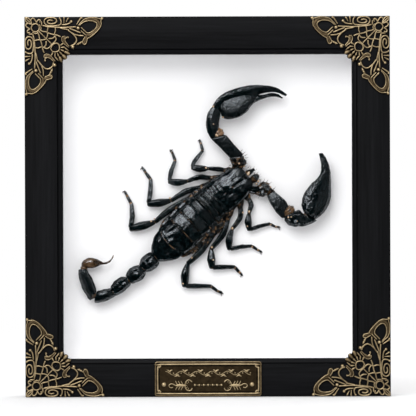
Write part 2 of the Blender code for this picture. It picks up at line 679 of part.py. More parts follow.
def add_legs(specimen):
    """Four pairs of legs, spread flat, counted from the head."""
    routes = {
        "left_leg_1": [(10.6, 18.6), (6.1, 19.5), (0.8, 19.9), (-3.9, 19.8), (-8.0, 20.5),
                       (-6.6, 24.1), (-2.5, 29.2), (-3.5, 33.0), (-4.1, 35.3)],
        "left_leg_2": [(4.8, 14.6), (-3.9, 15.4), (-10.2, 13.4), (-15.4, 12.6), (-20.1, 13.2),
                       (-19.1, 18.3), (-16.9, 24.0), (-18.4, 28.2), (-19.9, 29.9)],
        "left_leg_3": [(-1.6, 10.4), (-11.3, 7.9), (-18.9, 3.2), (-25.4, 1.9), (-31.0, 1.5),
                       (-30.0, 8.0), (-29.8, 14.3), (-32.5, 17.9), (-34.6, 21.3)],
        "left_leg_4": [(-5.0, 6.6), (-19.2, -1.2), (-27.3, -7.9), (-34.4, -10.1), (-40.4, -11.5),
                       (-39.5, -4.7), (-40.0, 1.6), (-42.1, 5.4), (-43.6, 8.5)],
        "right_leg_1": [(20.8, 4.9), (22.8, 1.0), (21.7, -3.5), (21.2, -8.2), (21.9, -12.3),
                        (26.5, -10.7), (32.6, -9.2), (35.6, -10.8), (38.2, -10.9)],
        "right_leg_2": [(17.0, 1.6), (17.0, -5.8), (12.8, -11.8), (11.2, -17.6), (11.4, -22.4),
                        (17.6, -21.2), (23.1, -20.8), (26.2, -22.9), (28.8, -24.1)],
        "right_leg_3": [(11.2, -3.8), (8.1, -14.2), (1.8, -22.3), (1.8, -27.5), (2.2, -32.0),
                        (8.4, -31.8), (14.1, -31.8), (16.4, -34.4), (18.5, -36.4)],
        "right_leg_4": [(5.2, -11.4), (-3.2, -23.0), (-10.4, -29.8), (-11.9, -35.9), (-12.0, -41.6),
                        (-5.6, -41.7), (1.6, -41.8), (5.1, -44.4), (8.2, -45.7)],
    }
    sizes = {"1": 0.86, "2": 0.88, "3": 1.0, "4": 1.06}
    for name, route in routes.items():
        add_leg(name, specimen, route, sizes[name[-1]])


def add_scorpion():
    specimen = add_specimen_empty()
    add_carapace(specimen)
    add_tergites(specimen)
    add_trunk(specimen)
    add_tail(specimen)
    add_mouthparts(specimen)
    add_left_arm(specimen)
    add_right_arm(specimen)
    add_legs(specimen)


def main():
    clear_scene()
    rails = add_case()
    add_corner_ornaments()
    add_nameplate(rails["bottom"])
    add_hanger(rails["top"])
    add_scorpion()


main()
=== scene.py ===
# %% [markdown]
# # A framed scorpion, dressed step by step
#
# The packed solids give every piece its place and size. This lesson puts the finished pieces over
# them: a rounded wooden frame, cast brass filigree, and the dried animal behind its glass. Most
# pieces are surfaces worked out as whole numpy arrays, so a shape is a formula with a few numbers
# in it. The first lines load the solids.

# %% Load the solids
import math

import bpy
import numpy as np
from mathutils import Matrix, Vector


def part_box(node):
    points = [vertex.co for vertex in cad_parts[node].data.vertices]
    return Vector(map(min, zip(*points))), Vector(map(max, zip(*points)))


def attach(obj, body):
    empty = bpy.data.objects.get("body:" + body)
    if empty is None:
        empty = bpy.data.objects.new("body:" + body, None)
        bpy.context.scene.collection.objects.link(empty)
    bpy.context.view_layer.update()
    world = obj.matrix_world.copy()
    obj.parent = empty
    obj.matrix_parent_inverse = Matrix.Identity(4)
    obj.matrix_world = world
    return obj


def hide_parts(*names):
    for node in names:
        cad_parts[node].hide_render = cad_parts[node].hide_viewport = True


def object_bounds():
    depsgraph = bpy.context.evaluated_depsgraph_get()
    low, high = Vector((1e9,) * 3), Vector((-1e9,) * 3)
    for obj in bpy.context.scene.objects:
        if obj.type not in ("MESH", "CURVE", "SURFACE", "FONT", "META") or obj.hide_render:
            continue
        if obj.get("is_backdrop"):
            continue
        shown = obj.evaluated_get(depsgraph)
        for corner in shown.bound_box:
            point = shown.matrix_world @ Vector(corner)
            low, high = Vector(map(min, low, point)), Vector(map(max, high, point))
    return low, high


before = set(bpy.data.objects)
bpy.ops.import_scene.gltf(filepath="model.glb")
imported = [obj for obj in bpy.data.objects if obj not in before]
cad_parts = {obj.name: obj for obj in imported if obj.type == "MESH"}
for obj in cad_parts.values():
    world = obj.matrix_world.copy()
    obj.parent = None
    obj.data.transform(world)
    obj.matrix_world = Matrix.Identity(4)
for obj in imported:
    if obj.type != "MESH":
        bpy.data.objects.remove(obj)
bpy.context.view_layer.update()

MM = 0.001
print("solids:", len(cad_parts))

# %% [markdown]
# ## Board coordinates
#
# A specimen is laid out flat on its board, so its pieces are easiest to draw there: x to the right
# and y up from the board's middle, and h out of the board towards the glass. One function turns
# such millimetres into the world's metres. The alternative, a parent object turned upright, would
# leave the pieces turned, and the export wants them at the origin.

# %% Board coordinates
board_low, board_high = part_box("backing_board")
BOARD_Y = board_low.y / MM
CENTRE_Z = (board_low.z + board_high.z) / 2 / MM
FRONT_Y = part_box("rail_top")[0].y / MM
HALF_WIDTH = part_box("rail_top")[1].x / MM
HALF_HEIGHT = CENTRE_Z


def to_world(points):
    """X = x, Y = board face - h, Z = middle + y, in metres. It turns without mirroring."""
    p = np.asarray(points, float)
    return np.stack([p[..., 0], BOARD_Y - p[..., 2], CENTRE_Z + p[..., 1]], axis=-1) * MM


print("board face at", round(BOARD_Y, 2), "mm, middle", round(CENTRE_Z, 2), "mm up")

# %% [markdown]
# ## Camera
#
# The photograph looks straight at the case from about two metres, where the rails' inner walls
# hardly show. A long lens at that distance frames 216 mm at the case's front. The turn about the
# line of sight is the slight tilt with which the picture was taken, and the camera stands a hair
# right of and below the case's middle.

# %% Camera
VIEW_WIDTH = 216.3 * MM
DISTANCE = 2.0
SENSOR_MM = 36.0
CAMERA_X, CAMERA_Z = 0.2 * MM, 98.1 * MM
TILT_DEGREES = 0.18
camera_data = bpy.data.cameras.new("camera")
camera_data.sensor_width = SENSOR_MM
camera_data.lens = SENSOR_MM * DISTANCE / VIEW_WIDTH
camera = bpy.data.objects.new("camera", camera_data)
camera.location = (CAMERA_X, FRONT_Y * MM - DISTANCE, CAMERA_Z)
camera.rotation_euler = (math.radians(90), math.radians(TILT_DEGREES), 0)
bpy.context.scene.collection.objects.link(camera)
bpy.context.scene.camera = camera
print("lens", round(camera_data.lens, 1), "mm")

# %% [markdown]
# ## Expressions for shaders
#
# A finish is a small network of nodes. Written out call by call it is hard to read, so a socket is
# wrapped in a class whose plus, minus and times add the Math nodes. The forms with an r are for a
# plain number on the left of the sign.


# %% Expressions for shaders
class Signal:
    """One output socket. Arithmetic on it adds a Math node and gives that node's output."""

    def __init__(self, finish, socket):
        self.finish = finish
        self.socket = socket

    def maths(self, operation, first, second):
        return self.finish.node("ShaderNodeMath", {"operation": operation}, {0: first, 1: second})

    def __add__(self, other):
        return self.maths("ADD", self, other)

    def __radd__(self, other):
        return self.maths("ADD", other, self)

    def __sub__(self, other):
        return self.maths("SUBTRACT", self, other)

    def __rsub__(self, other):
        return self.maths("SUBTRACT", other, self)

    def __mul__(self, other):
        return self.maths("MULTIPLY", self, other)

    def __rmul__(self, other):
        return self.maths("MULTIPLY", other, self)


print("operators:", [name for name in vars(Signal) if name.endswith(("add__", "sub__", "mul__"))])

# %% [markdown]
# ## Networks and finishes
#
# Any other node comes from one method that takes its type, its settings and what goes into its
# sockets. Settings are made first, because they decide which sockets a node has. A finish is the
# network of a material, and the sky will be the network of the world.


# %% Networks and finishes
class Network:
    """A node tree that is built by calls: node() adds a node, blend() mixes what is seen."""

    def __init__(self, owner, shader, output):
        owner.use_nodes = True
        self.tree = owner.node_tree
        self.shader = self.tree.nodes[shader]
        self.output = self.tree.nodes[output]
        self.main = Signal(self, self.shader.outputs[0])

    def node(self, kind, settings=None, inputs=None, output=0):
        made = self.tree.nodes.new(kind)
        for key, value in (settings or {}).items():
            if key == "stops":
                ramp = made.color_ramp.elements
                while len(ramp) < len(value):
                    ramp.new(0.5)
                for element, (place, colour) in zip(ramp, value):
                    element.position = place
                    element.color = (*colour, 1.0)
            else:
                setattr(made, key, value)
        self.feed(made, inputs or {})
        return Signal(self, made.outputs[output])

    def feed(self, node, inputs):
        for key, value in inputs.items():
            if isinstance(value, Signal):
                self.tree.links.new(value.socket, node.inputs[key])
            else:
                node.inputs[key].default_value = value

    def blend(self, share, first, second):
        """Puts a mixture of two shaders on the surface: share 0 is the first, 1 the second."""
        mixed = self.node("ShaderNodeMixShader", {}, {0: share, 1: first, 2: second})
        self.feed(self.output, {"Surface": mixed})


class Finish(Network):
    """A material: shade() sets its main shader, and the rest are nodes that it often needs."""

    def __init__(self, name):
        self.material = bpy.data.materials.new(name)
        super().__init__(self.material, "Principled BSDF", "Material Output")

    def shade(self, **inputs):
        self.feed(self.shader, {key.replace("_", " "): value for key, value in inputs.items()})
        return self.material

    def place(self, scale=(1, 1, 1), turn=(0, 0, 0)):
        """Object coordinates in metres, stretched and turned."""
        where = self.node("ShaderNodeTexCoord", output=3)
        return self.node("ShaderNodeMapping", {}, {"Vector": where, "Scale": scale, "Rotation": turn})

    def noise(self, where, scale, detail=3.0, roughness=0.5):
        settings = {"Vector": where, "Scale": scale, "Detail": detail, "Roughness": roughness}
        return self.node("ShaderNodeTexNoise", {}, settings)

    def ramp(self, value, stops):
        return self.node("ShaderNodeValToRGB", {"stops": stops}, {0: value})

    def spread(self, value, low, high, to_low=0.0, to_high=1.0):
        """Value taken from the range low..high to to_low..to_high, and kept inside it."""
        inputs = {0: value, 1: low, 2: high, 3: to_low, 4: to_high}
        return self.node("ShaderNodeMapRange", {"clamp": True}, inputs)

    def mix(self, share, first, second):
        settings = {"data_type": "RGBA"}
        return self.node("ShaderNodeMix", settings, {0: share, 6: first, 7: second}, output=2)

    def bump(self, height, strength, distance):
        inputs = {"Height": height, "Strength": strength, "Distance": distance}
        return self.node("ShaderNodeBump", {}, inputs)

    def painted(self, name="paint"):
        """The value that was painted on the mesh's points."""
        return self.node("ShaderNodeAttribute", {"attribute_name": name}, {}, output=2)


print("a finish can make:", [name for name in vars(Finish) if not name.startswith("_")])

# %% [markdown]
# ## Finishes of the case
#
# The frame is stained black and satin, with faint straight grain along each rail: noise squeezed
# along the rail makes it. The card and the hardboard need only a fine tooth, and zinc has its
# spangle, which is a pattern of cells. Picture textures would do too, but noise needs no file.


# %% Finishes of the case
def black_wood(name, along):
    """Satin black wood. along is the grain's axis, 0 for X and 2 for Z."""
    finish = Finish(name)
    squeeze = [1.0, 1.0, 1.0]
    squeeze[along] = 0.035
    where = finish.place(squeeze)
    streaks = finish.noise(where, 900.0, 4.0, 0.6)
    bands = finish.noise(where, 160.0, 2.0)
    grain = streaks * 0.6 + bands * 0.4
    colour = finish.ramp(grain, [(0.35, (0.0028, 0.0030, 0.0036)), (0.7, (0.0075, 0.0078, 0.0092))])
    return finish.shade(
        Base_Color=colour,
        Roughness=finish.spread(bands, 0.3, 0.7, 0.44, 0.56),
        Specular_IOR_Level=0.09,
        Normal=finish.bump(grain, 0.35, 0.0003),
    )


def white_card():
    finish = Finish("white_card")
    where = finish.place()
    tooth = finish.noise(where, 2600.0, 2.0)
    cloud = finish.noise(where, 28.0, 2.0)
    colour = finish.mix(cloud, (0.90, 0.90, 0.905, 1), (0.925, 0.925, 0.93, 1))
    return finish.shade(Base_Color=colour, Roughness=0.92, Normal=finish.bump(tooth, 0.12, 0.0001))


def hardboard():
    finish = Finish("hardboard")
    where = finish.place()
    fibres = finish.noise(finish.place((1, 1, 0.25), (0, 0.6, 0)), 900.0, 4.0, 0.7)
    blots = finish.noise(where, 60.0, 3.0)
    colour = finish.ramp(fibres * 0.7 + blots * 0.3, [(0.3, (0.10, 0.06, 0.035)), (0.7, (0.24, 0.15, 0.09))])
    return finish.shade(Base_Color=colour, Roughness=0.82, Normal=finish.bump(fibres, 0.4, 0.0002))


def zinc_steel():
    finish = Finish("zinc_steel")
    where = finish.place()
    spangle = finish.node("ShaderNodeTexVoronoi", {}, {"Vector": where, "Scale": 420.0}, output=1)
    wear = finish.noise(where, 300.0, 4.0)
    colour = finish.mix(0.12, (0.58, 0.58, 0.60, 1), spangle)
    grey = finish.mix(wear * 0.5, colour, (0.34, 0.34, 0.35, 1))
    return finish.shade(
        Base_Color=grey,
        Metallic=1.0,
        Roughness=finish.spread(wear, 0.3, 0.7, 0.28, 0.45),
        Normal=finish.bump(wear, 0.15, 0.0001),
    )


WOOD_LEVEL = black_wood("black_wood_level", 0)
WOOD_UPRIGHT = black_wood("black_wood_upright", 2)
CARD = white_card()
STEEL = zinc_steel()
print("finishes so far:", [material.name for material in bpy.data.materials])

# %% [markdown]
# ## Glass, and dressing the solids
#
# The pane is anti-reflection glass, which is why the photograph shows no glare: its refractive index
# is set low. Light itself crosses it unbent, as it does a thin pane. Pieces that are plain boards and
# sheets keep their solids, and only get a finish in their slots.


# %% Glass, and dressing the solids
def clear_glass():
    """Only what the camera sees through the pane is bent and mirrored. Light crosses it straight."""
    finish = Finish("clear_glass")
    finish.shade(Base_Color=(1, 1, 1, 1), Roughness=0.0, IOR=1.12, Transmission_Weight=1.0)
    seen = finish.node("ShaderNodeLightPath", output=0)
    clear = finish.node("ShaderNodeBsdfTransparent")
    finish.blend(seen, clear, finish.main)
    return finish.material


def dress(node, material):
    """Puts a finish on one of the solids."""
    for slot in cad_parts[node].material_slots:
        slot.material = material


for side in ("top", "right", "bottom", "left"):
    dress("liner_" + side, CARD)
    dress("back_tab_" + side, STEEL)
dress("backing_board", CARD)
dress("back_panel", hardboard())
dress("glass_pane", clear_glass())
for node in ("hanger", "hanger_nail_left", "hanger_nail_right"):
    dress(node, STEEL)
print("finishes:", len(bpy.data.materials))

# %% [markdown]
# ## Curves and bells
#
# Three small formulas do most of the work: angles round a ring, a bell for anything that rises or
# sinks softly round a place, and a smooth curve through a few points. Blender's own curves could
# be sampled too, but here a curve also carries widths, heights and thicknesses along.


# %% Curves and bells
def circle_angles(count):
    return 2 * math.pi * np.arange(count) / count


def bell(value, middle, width):
    """1 at the middle and falling off to both sides: e to the minus (distance / width) squared."""
    return np.exp(-(((value - middle) / width) ** 2))


def smooth_rows(rows, steps):
    """Catmull-Rom curve through the rows: each stretch a..b is the cubic that leaves a along the
    line from its neighbour to b, and arrives at b along the line from a to b's neighbour."""
    rows = np.asarray(rows, float)
    padded = np.vstack([2 * rows[0] - rows[1], rows, 2 * rows[-1] - rows[-2]])
    place = np.arange((len(rows) - 1) * steps + 1) / steps
    i = np.minimum(place.astype(int), len(rows) - 2)
    t = (place - i)[:, None]
    a, b, c, d = (padded[i + k] for k in range(4))
    return 0.5 * (2 * b + (c - a) * t + (2 * a - 5 * b + 4 * c - d) * t**2 + (3 * b - a - 3 * c + d) * t**3)


print("half-way to the bend:", smooth_rows([(0, 0), (1, 0), (1, 1)], 2)[1].round(3).tolist())

# %% [markdown]
# ## From a grid of points to a mesh
#
# Every new piece is made of tubes: rings of points, one behind the other, joined by four-sided
# faces and closed at both ends. A Shape collects such tubes, with a painted value at each point
# that the finishes read. It turns a tube's faces round when its volume comes out negative, so all
# of them look outwards. A blend of Blender's own primitives could give the same forms, but not
# with one formula each.


# %% From a grid of points to a mesh
class Shape:
    """Closed tubes that become one mesh."""

    def __init__(self):
        self.points = []
        self.faces = []
        self.paint = []
        self.total = 0

    def tube(self, rings, paint=0.0):
        """Rings is an array of rings, points and x, y, z, in board millimetres. Neighbours in a
        ring and from ring to ring share a face, and each end ring is filled."""
        count, around = rings.shape[:2]
        paint = np.broadcast_to(paint, (count, around)).reshape(-1)
        row, column = np.meshgrid(np.arange(count - 1), np.arange(around), indexing="ij")
        a = row * around + column
        b = row * around + (column + 1) % around
        quads = np.stack([a, b, b + around, a + around], axis=-1).reshape(-1, 4)
        first = np.arange(around)[::-1]
        last = np.arange(around) + (count - 1) * around
        flat = rings.reshape(-1, 3)
        p = flat[quads]
        middle = flat.mean(axis=0)
        half_a = np.einsum("ij,ij->i", p[:, 0] - middle, np.cross(p[:, 1] - middle, p[:, 2] - middle))
        half_b = np.einsum("ij,ij->i", p[:, 0] - middle, np.cross(p[:, 2] - middle, p[:, 3] - middle))
        if (half_a + half_b).sum() < 0:
            quads, first, last = quads[:, ::-1], first[::-1], last[::-1]
        self.points.append(flat)
        self.paint.append(paint)
        self.faces += [quads + self.total, (first + self.total)[None], (last + self.total)[None]]
        self.total += len(flat)

    def finish(self, name, material, slot, *nodes, sharp=None):
        """One object from all the tubes, riding on the part, in place of the named solids. The
        attribute facing is 1 where a point's normal looks out of the case, and 0 at a steep side."""
        points = to_world(np.vstack(self.points))
        mesh = bpy.data.meshes.new(name)
        mesh.vertices.add(len(points))
        mesh.vertices.foreach_set("co", points.ravel())
        corners = np.concatenate([faces.ravel() for faces in self.faces])
        sizes = np.concatenate([np.full(len(faces), faces.shape[1]) for faces in self.faces])
        mesh.loops.add(len(corners))
        mesh.loops.foreach_set("vertex_index", corners.astype(np.int32))
        mesh.polygons.add(len(sizes))
        mesh.polygons.foreach_set("loop_start", (np.cumsum(sizes) - sizes).astype(np.int32))
        mesh.update(calc_edges=True)
        painted = mesh.attributes.new("paint", "FLOAT", "POINT")
        painted.data.foreach_set("value", np.concatenate(self.paint).astype(np.float32))
        normals = np.empty(3 * len(points), np.float32)
        mesh.vertices.foreach_get("normal", normals)
        facing = mesh.attributes.new("facing", "FLOAT", "POINT")
        facing.data.foreach_set("value", -normals[1::3])
        mesh.materials.append(material)
        mesh.shade_smooth()
        if sharp:
            mesh.set_sharp_from_angle(angle=math.radians(sharp))
        obj = bpy.data.objects.new(name, mesh)
        bpy.context.scene.collection.objects.link(obj)
        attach(obj, "root")
        if nodes:
            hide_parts(*nodes)
        return obj


print("a tube's ends are filled, and its faces look outwards")

# %% [markdown]
# ## The rails
#
# A frame is cut from one length of moulding with mitred ends. Each rail is that moulding's profile
# carried along a straight line, and its ends are slanted by ending every point of the profile as
# far in as it lies from the outer edge. The profile has eased outer corners, and towards the
# opening a dark groove and a narrow lip that catches the light.


# %% The rails
def rounded_corner(centre, radius, start, end, points=5):
    """Points on a circle's arc from the start angle to the end angle, in degrees."""
    angle = np.radians(np.linspace(start, end, points))
    return np.stack([centre[0] + radius * np.cos(angle), centre[1] + radius * np.sin(angle)], axis=1)


RAIL_FACE = 19.8  # width seen from the front
REBATE = 13.0  # wood left beside the glass and the liner
DEPTH = 28.0
LIP_BACK = 4.5  # depth of the lip in front of the glass
MITRE_SLIT = 0.01  # taken off each mitred end


def moulding():
    """The profile as distance in from the outer edge and depth behind the front."""
    groove = RAIL_FACE - 2.9
    return np.vstack(
        [
            rounded_corner((0.6, DEPTH - 0.6), 0.6, 90, 180),
            rounded_corner((1.0, 1.0), 1.0, 180, 270, 7),
            [(groove - 0.35, 0.0), (groove - 0.1, 0.12), (groove, 0.5), (groove + 0.08, 1.1)],
            [(groove + 0.3, 1.15), (groove + 0.42, 0.85), (groove + 0.7, 0.62), (groove + 1.2, 0.72)],
            [(RAIL_FACE - 0.75, 1.15), (RAIL_FACE - 0.25, 1.6), (RAIL_FACE, 2.1)],
            [(RAIL_FACE, LIP_BACK), (REBATE, LIP_BACK), (REBATE, DEPTH)],
        ]
    )


def rail(side, length, reach, turn):
    """x along the rail runs to length / 2 less the profile's distance in, at both ends."""
    inward, depth = moulding().T
    along = np.array([-1.0, 1.0])[:, None] * (length / 2 - inward - MITRE_SLIT)
    out = np.broadcast_to(reach - inward, along.shape)
    h = np.broadcast_to(BOARD_Y - FRONT_Y - depth, along.shape)
    angle = math.radians(turn)
    x = along * math.cos(angle) + out * math.sin(angle)
    y = out * math.cos(angle) - along * math.sin(angle)
    shape = Shape()
    shape.tube(np.stack([x, y, h], axis=-1))
    wood = WOOD_LEVEL if turn % 180 == 0 else WOOD_UPRIGHT
    return shape.finish(f"wooden_rail_{side}", wood, "black_wood", "rail_" + side, sharp=32)


for side, turn in (("top", 0), ("right", 90), ("bottom", 180), ("left", 270)):
    level = turn % 180 == 0
    length, reach = (2 * HALF_WIDTH, HALF_HEIGHT) if level else (2 * HALF_HEIGHT, HALF_WIDTH)
    rail(side, length, reach, turn)
print("rails of", round(2 * HALF_WIDTH, 1), "and", round(2 * HALF_HEIGHT, 1), "mm")

# %% [markdown]
# ## Antique brass
#
# Cast ornaments are dipped to turn them brown-black and then rubbed, so only what stands proud is
# bright. Each point of the castings is painted with how proud it stands, and the finish goes from
# patina to brass by that value, unevenly, because hands rub unevenly.


# %% Antique brass
def antique_brass():
    finish = Finish("antique_brass")
    where = finish.place()
    blots = finish.noise(where, 420.0, 4.0, 0.6)
    pits = finish.noise(where, 2600.0, 2.0)
    rubbed = finish.spread(finish.painted() + (blots - 0.5) * 0.45, 0.0, 1.0)
    patina = (0.1, (0.012, 0.009, 0.005))
    brown, dull_brass = (0.42, (0.085, 0.056, 0.027)), (0.7, (0.22, 0.155, 0.078))
    colour = finish.ramp(rubbed, [patina, brown, dull_brass, (0.98, (0.66, 0.51, 0.29))])
    return finish.shade(
        Base_Color=colour,
        Metallic=finish.spread(rubbed, 0.3, 0.95, 0.9, 0.5),
        Roughness=finish.spread(rubbed, 0.0, 1.0, 0.55, 0.30) + (pits - 0.5) * 0.15,
        Normal=finish.bump(blots + pits * 0.4, 0.30, 0.0002),
    )


BRASS = antique_brass()
print("nodes in the brass:", len(BRASS.node_tree.nodes))

# %% [markdown]
# ## Strokes and balls
#
# Cast ornament of this kind is a drawing in relief: bars of changing width that cross and touch, and
# balls where they end. A curve with a bevel would do for the bars, but not for their rounded ends and
# the paint along their ridges.


# %% Strokes and balls
def stroke(path, widths, base, rise, around=10, steps=6, shine=1.0, edge=1.3):
    """A rounded bar along a smooth curve through the path's points, as a tube of ellipses.
    Half its width goes to each side of the curve and rise above the base, and both ends are
    rounded by rings that shrink with the cosine while they move on with the sine. It is painted
    bright on its ridge, shine times the sine to the power edge: a larger edge, a thinner line."""
    path = np.asarray(path, float)
    widths = np.broadcast_to(np.asarray(widths, float), len(path))
    rows = smooth_rows(np.column_stack([path, widths]), steps)
    line, half = rows[:, :2], np.abs(rows[:, 2]) / 2
    tangent = np.gradient(line, axis=0)
    tangent /= np.linalg.norm(tangent, axis=1)[:, None] + 1e-9
    quarter = np.radians([80.0, 50.0, 22.0])
    start = line[0] - tangent[0] * (half[0] * np.sin(quarter))[:, None]
    end = line[-1] + tangent[-1] * (half[-1] * np.sin(quarter[::-1]))[:, None]
    shrink = np.concatenate([np.cos(quarter), np.ones(len(line)), np.cos(quarter[::-1])])
    line = np.vstack([start, line, end])
    half = np.concatenate([np.full(3, half[0]), half, np.full(3, half[-1])]) * shrink
    tangent = np.vstack([np.tile(tangent[0], (3, 1)), tangent, np.tile(tangent[-1], (3, 1))])
    side = np.stack([-tangent[:, 1], tangent[:, 0]], axis=1)
    angle = circle_angles(around)
    across = half[:, None] * np.cos(angle)
    height = base + rise * (0.35 + 0.65 * shrink)[:, None] * np.sin(angle)
    flat = line[:, None, :] + side[:, None, :] * across[..., None]
    proud = shine * np.clip(np.sin(angle), 0, 1) ** edge * np.ones_like(across)
    return np.dstack([flat, height]), proud


def ball(centre, radius, base, rise, around=12, rows=7):
    """A flattened ball: rings of radius cosine at heights of sine, from pole to pole."""
    tilt = np.radians(np.linspace(-86, 86, rows))[:, None]
    angle = circle_angles(around)
    x = centre[0] + radius * np.cos(tilt) * np.cos(angle)
    y = centre[1] + radius * np.cos(tilt) * np.sin(angle)
    h = base + rise * np.sin(tilt) * np.ones_like(angle)
    return np.dstack([x, y, h]), np.clip(np.sin(tilt), 0, 1) * np.ones_like(angle)


print("points in a ball:", ball((0, 0), 1, 0, 1)[1].size)

# %% [markdown]
# ## The corner filigree
#
# The castings are a traditional box-corner pattern: a flower ring in the corner, a lattice, a
# spiral and a shell on the diagonal, C-scrolls, and a pear-shaped loop at the end of each arm. One
# arm is drawn as strokes, in squares of 0.52 mm counted from the frame's corner. The other arm is its
# mirror image across the diagonal, and the four corners are mirror images of each other.

# %% Strokes of one corner
SQUARE = 0.52  # mm
ARM = [  # width, then the points of the line
    (1.9, [(0.9, 1.5), (3.1, 1.0), (5.2, 2.3), (6.8, 4.8), (7.6, 7.3)]),
    (1.9, [(6.6, 3.5), (7.9, 1.7), (9.4, 1.8), (10.8, 3.3), (12.1, 5.5)]),
    (1.9, [(12.5, 5.3), (13.7, 3.5), (15.0, 3.0), (16.2, 3.7), (15.9, 5.1)]),
    (1.8, [(17.4, 5.3), (17.5, 8.5)]),
    (1.9, [
        (28.1, 3.8), (25.6, 3.4), (23.4, 4.4), (23.6, 6.1), (26.1, 7.1), (29.4, 6.9), (32.1, 5.4),
        (32.2, 3.0), (29.9, 1.3), (26.1, 0.9), (22.3, 1.5), (20.0, 3.9), (20.6, 6.9), (22.8, 8.7),
        (26.6, 9.3), (31.1, 9.1), (35.1, 8.5), (36.8, 6.6), (36.6, 3.6), (35.4, 1.3),
    ]),
    (2.1, [(19.1, 9.0), (23.1, 9.9), (27.6, 10.3), (32.6, 10.7), (38.6, 11.0), (44.6, 10.7), (51.1, 10.3)]),
    (1.8, [(36.6, 11.5), (40.6, 12.5), (44.1, 13.1)]),
    (1.8, [(45.6, 12.0), (49.6, 13.5), (53.1, 14.9), (55.9, 16.0)]),
    (1.9, [(44.1, 13.7), (47.6, 16.4), (50.6, 17.9), (54.6, 18.9), (58.6, 19.1)]),
    (2.0, [(48.4, 17.1), (51.1, 20.1), (52.3, 23.1), (51.4, 26.1), (48.9, 28.4), (46.9, 29.1)]),
    (1.9, [(38.1, 8.0), (41.6, 7.8), (44.6, 7.0), (46.8, 5.4)]),
    (1.8, [
        (16.1, 13.6), (18.6, 14.7), (22.1, 15.3), (24.6, 16.6), (28.6, 17.7), (32.6, 18.5), (35.6, 19.7),
    ]),
    (1.6, [(15.6, 8.6), (16.8, 11.1), (16.4, 13.6)]),
    (1.7, [(23.8, 10.6), (23.1, 14.6), (23.4, 18.1), (22.4, 21.6)]),
    (1.8, [
        (31.1, 11.6), (31.2, 14.1), (30.2, 17.6), (31.1, 20.1), (31.9, 22.6), (30.6, 25.1), (28.1, 27.3),
    ]),
    (1.9, [(25.1, 21.9), (28.1, 21.7), (30.4, 20.1)]),
    (1.6, [(57.2, 14.4), (59.6, 16.7), (61.8, 18.7)]),
    (1.5, [(40.9, 22.5), (41.8, 21.1), (43.1, 20.6), (43.9, 20.8)]),
    (1.5, [
        (54.5, 8.4), (57.1, 5.6), (59.6, 3.0), (63.1, 1.6), (67.1, 1.0), (71.1, 1.1), (74.4, 2.0),
        (76.6, 2.5),
    ]),
    (1.5, [
        (77.0, 2.7), (76.7, 4.7), (77.0, 7.1), (76.2, 10.1), (73.9, 13.4), (70.4, 16.9), (67.0, 19.7),
        (65.0, 21.0), (63.2, 21.9), (62.5, 24.6), (61.5, 27.1), (59.8, 27.7), (58.4, 26.3), (58.9, 23.7),
        (60.6, 20.7),
    ]),
    (1.5, [
        (55.6, 8.5), (58.1, 6.3), (61.1, 4.8), (65.1, 4.2), (69.1, 4.6), (72.2, 6.4), (72.8, 9.1),
        (71.1, 12.1), (68.1, 14.9), (65.1, 16.2), (62.6, 16.1), (60.6, 14.4), (57.4, 11.3),
    ]),
    (1.1, [
        (40.4, 19.7), (38.4, 20.0), (37.4, 22.1), (38.1, 25.1), (40.1, 27.3), (42.1, 28.9), (44.0, 30.5),
    ]),
    (1.1, [(40.8, 20.3), (40.5, 22.6), (41.4, 25.1), (42.9, 27.3), (44.6, 29.1)]),
]
TAPERED = [  # a width at each point: clubs and leaves
    ([1.2, 1.4, 2.4], [(39.7, 5.9), (39.8, 3.7), (39.9, 1.3)]),
    ([1.2, 1.5, 2.5], [(42.0, 5.1), (42.9, 3.4), (43.7, 2.0)]),
    ([1.4, 1.8, 2.4], [(52.6, 7.5), (54.6, 4.3), (56.8, 1.1)]),
    ([1.7, 2.5, 2.5, 1.9], [(52.9, 27.7), (54.2, 27.1), (55.8, 26.3), (57.6, 25.3)]),
    ([1.0, 1.9, 1.0], [(40.2, 30.6), (41.8, 32.2), (43.8, 33.7)]),
]
FLATS = [  # low faces between two ridges: the loop, its foot and the crescent
    ([0.9, 2.4, 3.3, 3.8, 4.5, 4.5, 4.0, 4.2, 4.5, 4.8, 4.2], [
        (55.0, 8.3), (58.8, 4.7), (62.8, 3.3), (67.1, 2.7), (71.4, 3.3), (74.8, 6.7), (74.6, 9.7),
        (72.5, 13.1), (69.3, 16.3), (65.9, 18.6), (63.0, 18.7),
    ]),
    ([3.6, 3.0, 3.2], [(62.2, 20.6), (60.8, 24.1), (60.1, 26.5)]),
    ([1.6, 3.0, 3.3, 2.6, 2.0, 1.6], [
        (39.8, 20.0), (39.0, 21.9), (39.5, 24.3), (41.2, 26.5), (43.0, 28.5), (44.6, 30.1),
    ]),
]
BALLS = [  # middle and radius
    ((53.9, 11.5), 2.1), ((77.6, 1.9), 1.9), ((47.0, 4.9), 1.7), ((57.5, 1.4), 1.4), ((43.9, 20.8), 1.2),
    ((48.5, 30.3), 2.1), ((35.4, 1.4), 1.3), ((53.9, 27.3), 1.4), ((56.0, 26.3), 1.3),
]
EYELET = [  # the shell's round middle, on the diagonal
    (26.5, 32.0), (27.6, 29.1), (29.1, 27.6), (32.0, 26.5), (34.6, 28.0), (35.2, 31.2), (34.2, 34.2),
    (31.2, 35.2), (28.0, 34.6), (26.5, 32.0),
]
print("strokes of an arm:", len(ARM) + len(TAPERED) + len(FLATS))

# %% [markdown]
# ## Casting the four corners
#
# What lies on the diagonal is worked out instead of drawn: a flower ring, and a shell whose seven
# ribs fan out round the eyelet, with three petals beyond them. The strokes are a seventh wider than
# drawn, as a casting's edges are when they are soft, and the ridge alone is rubbed bright.

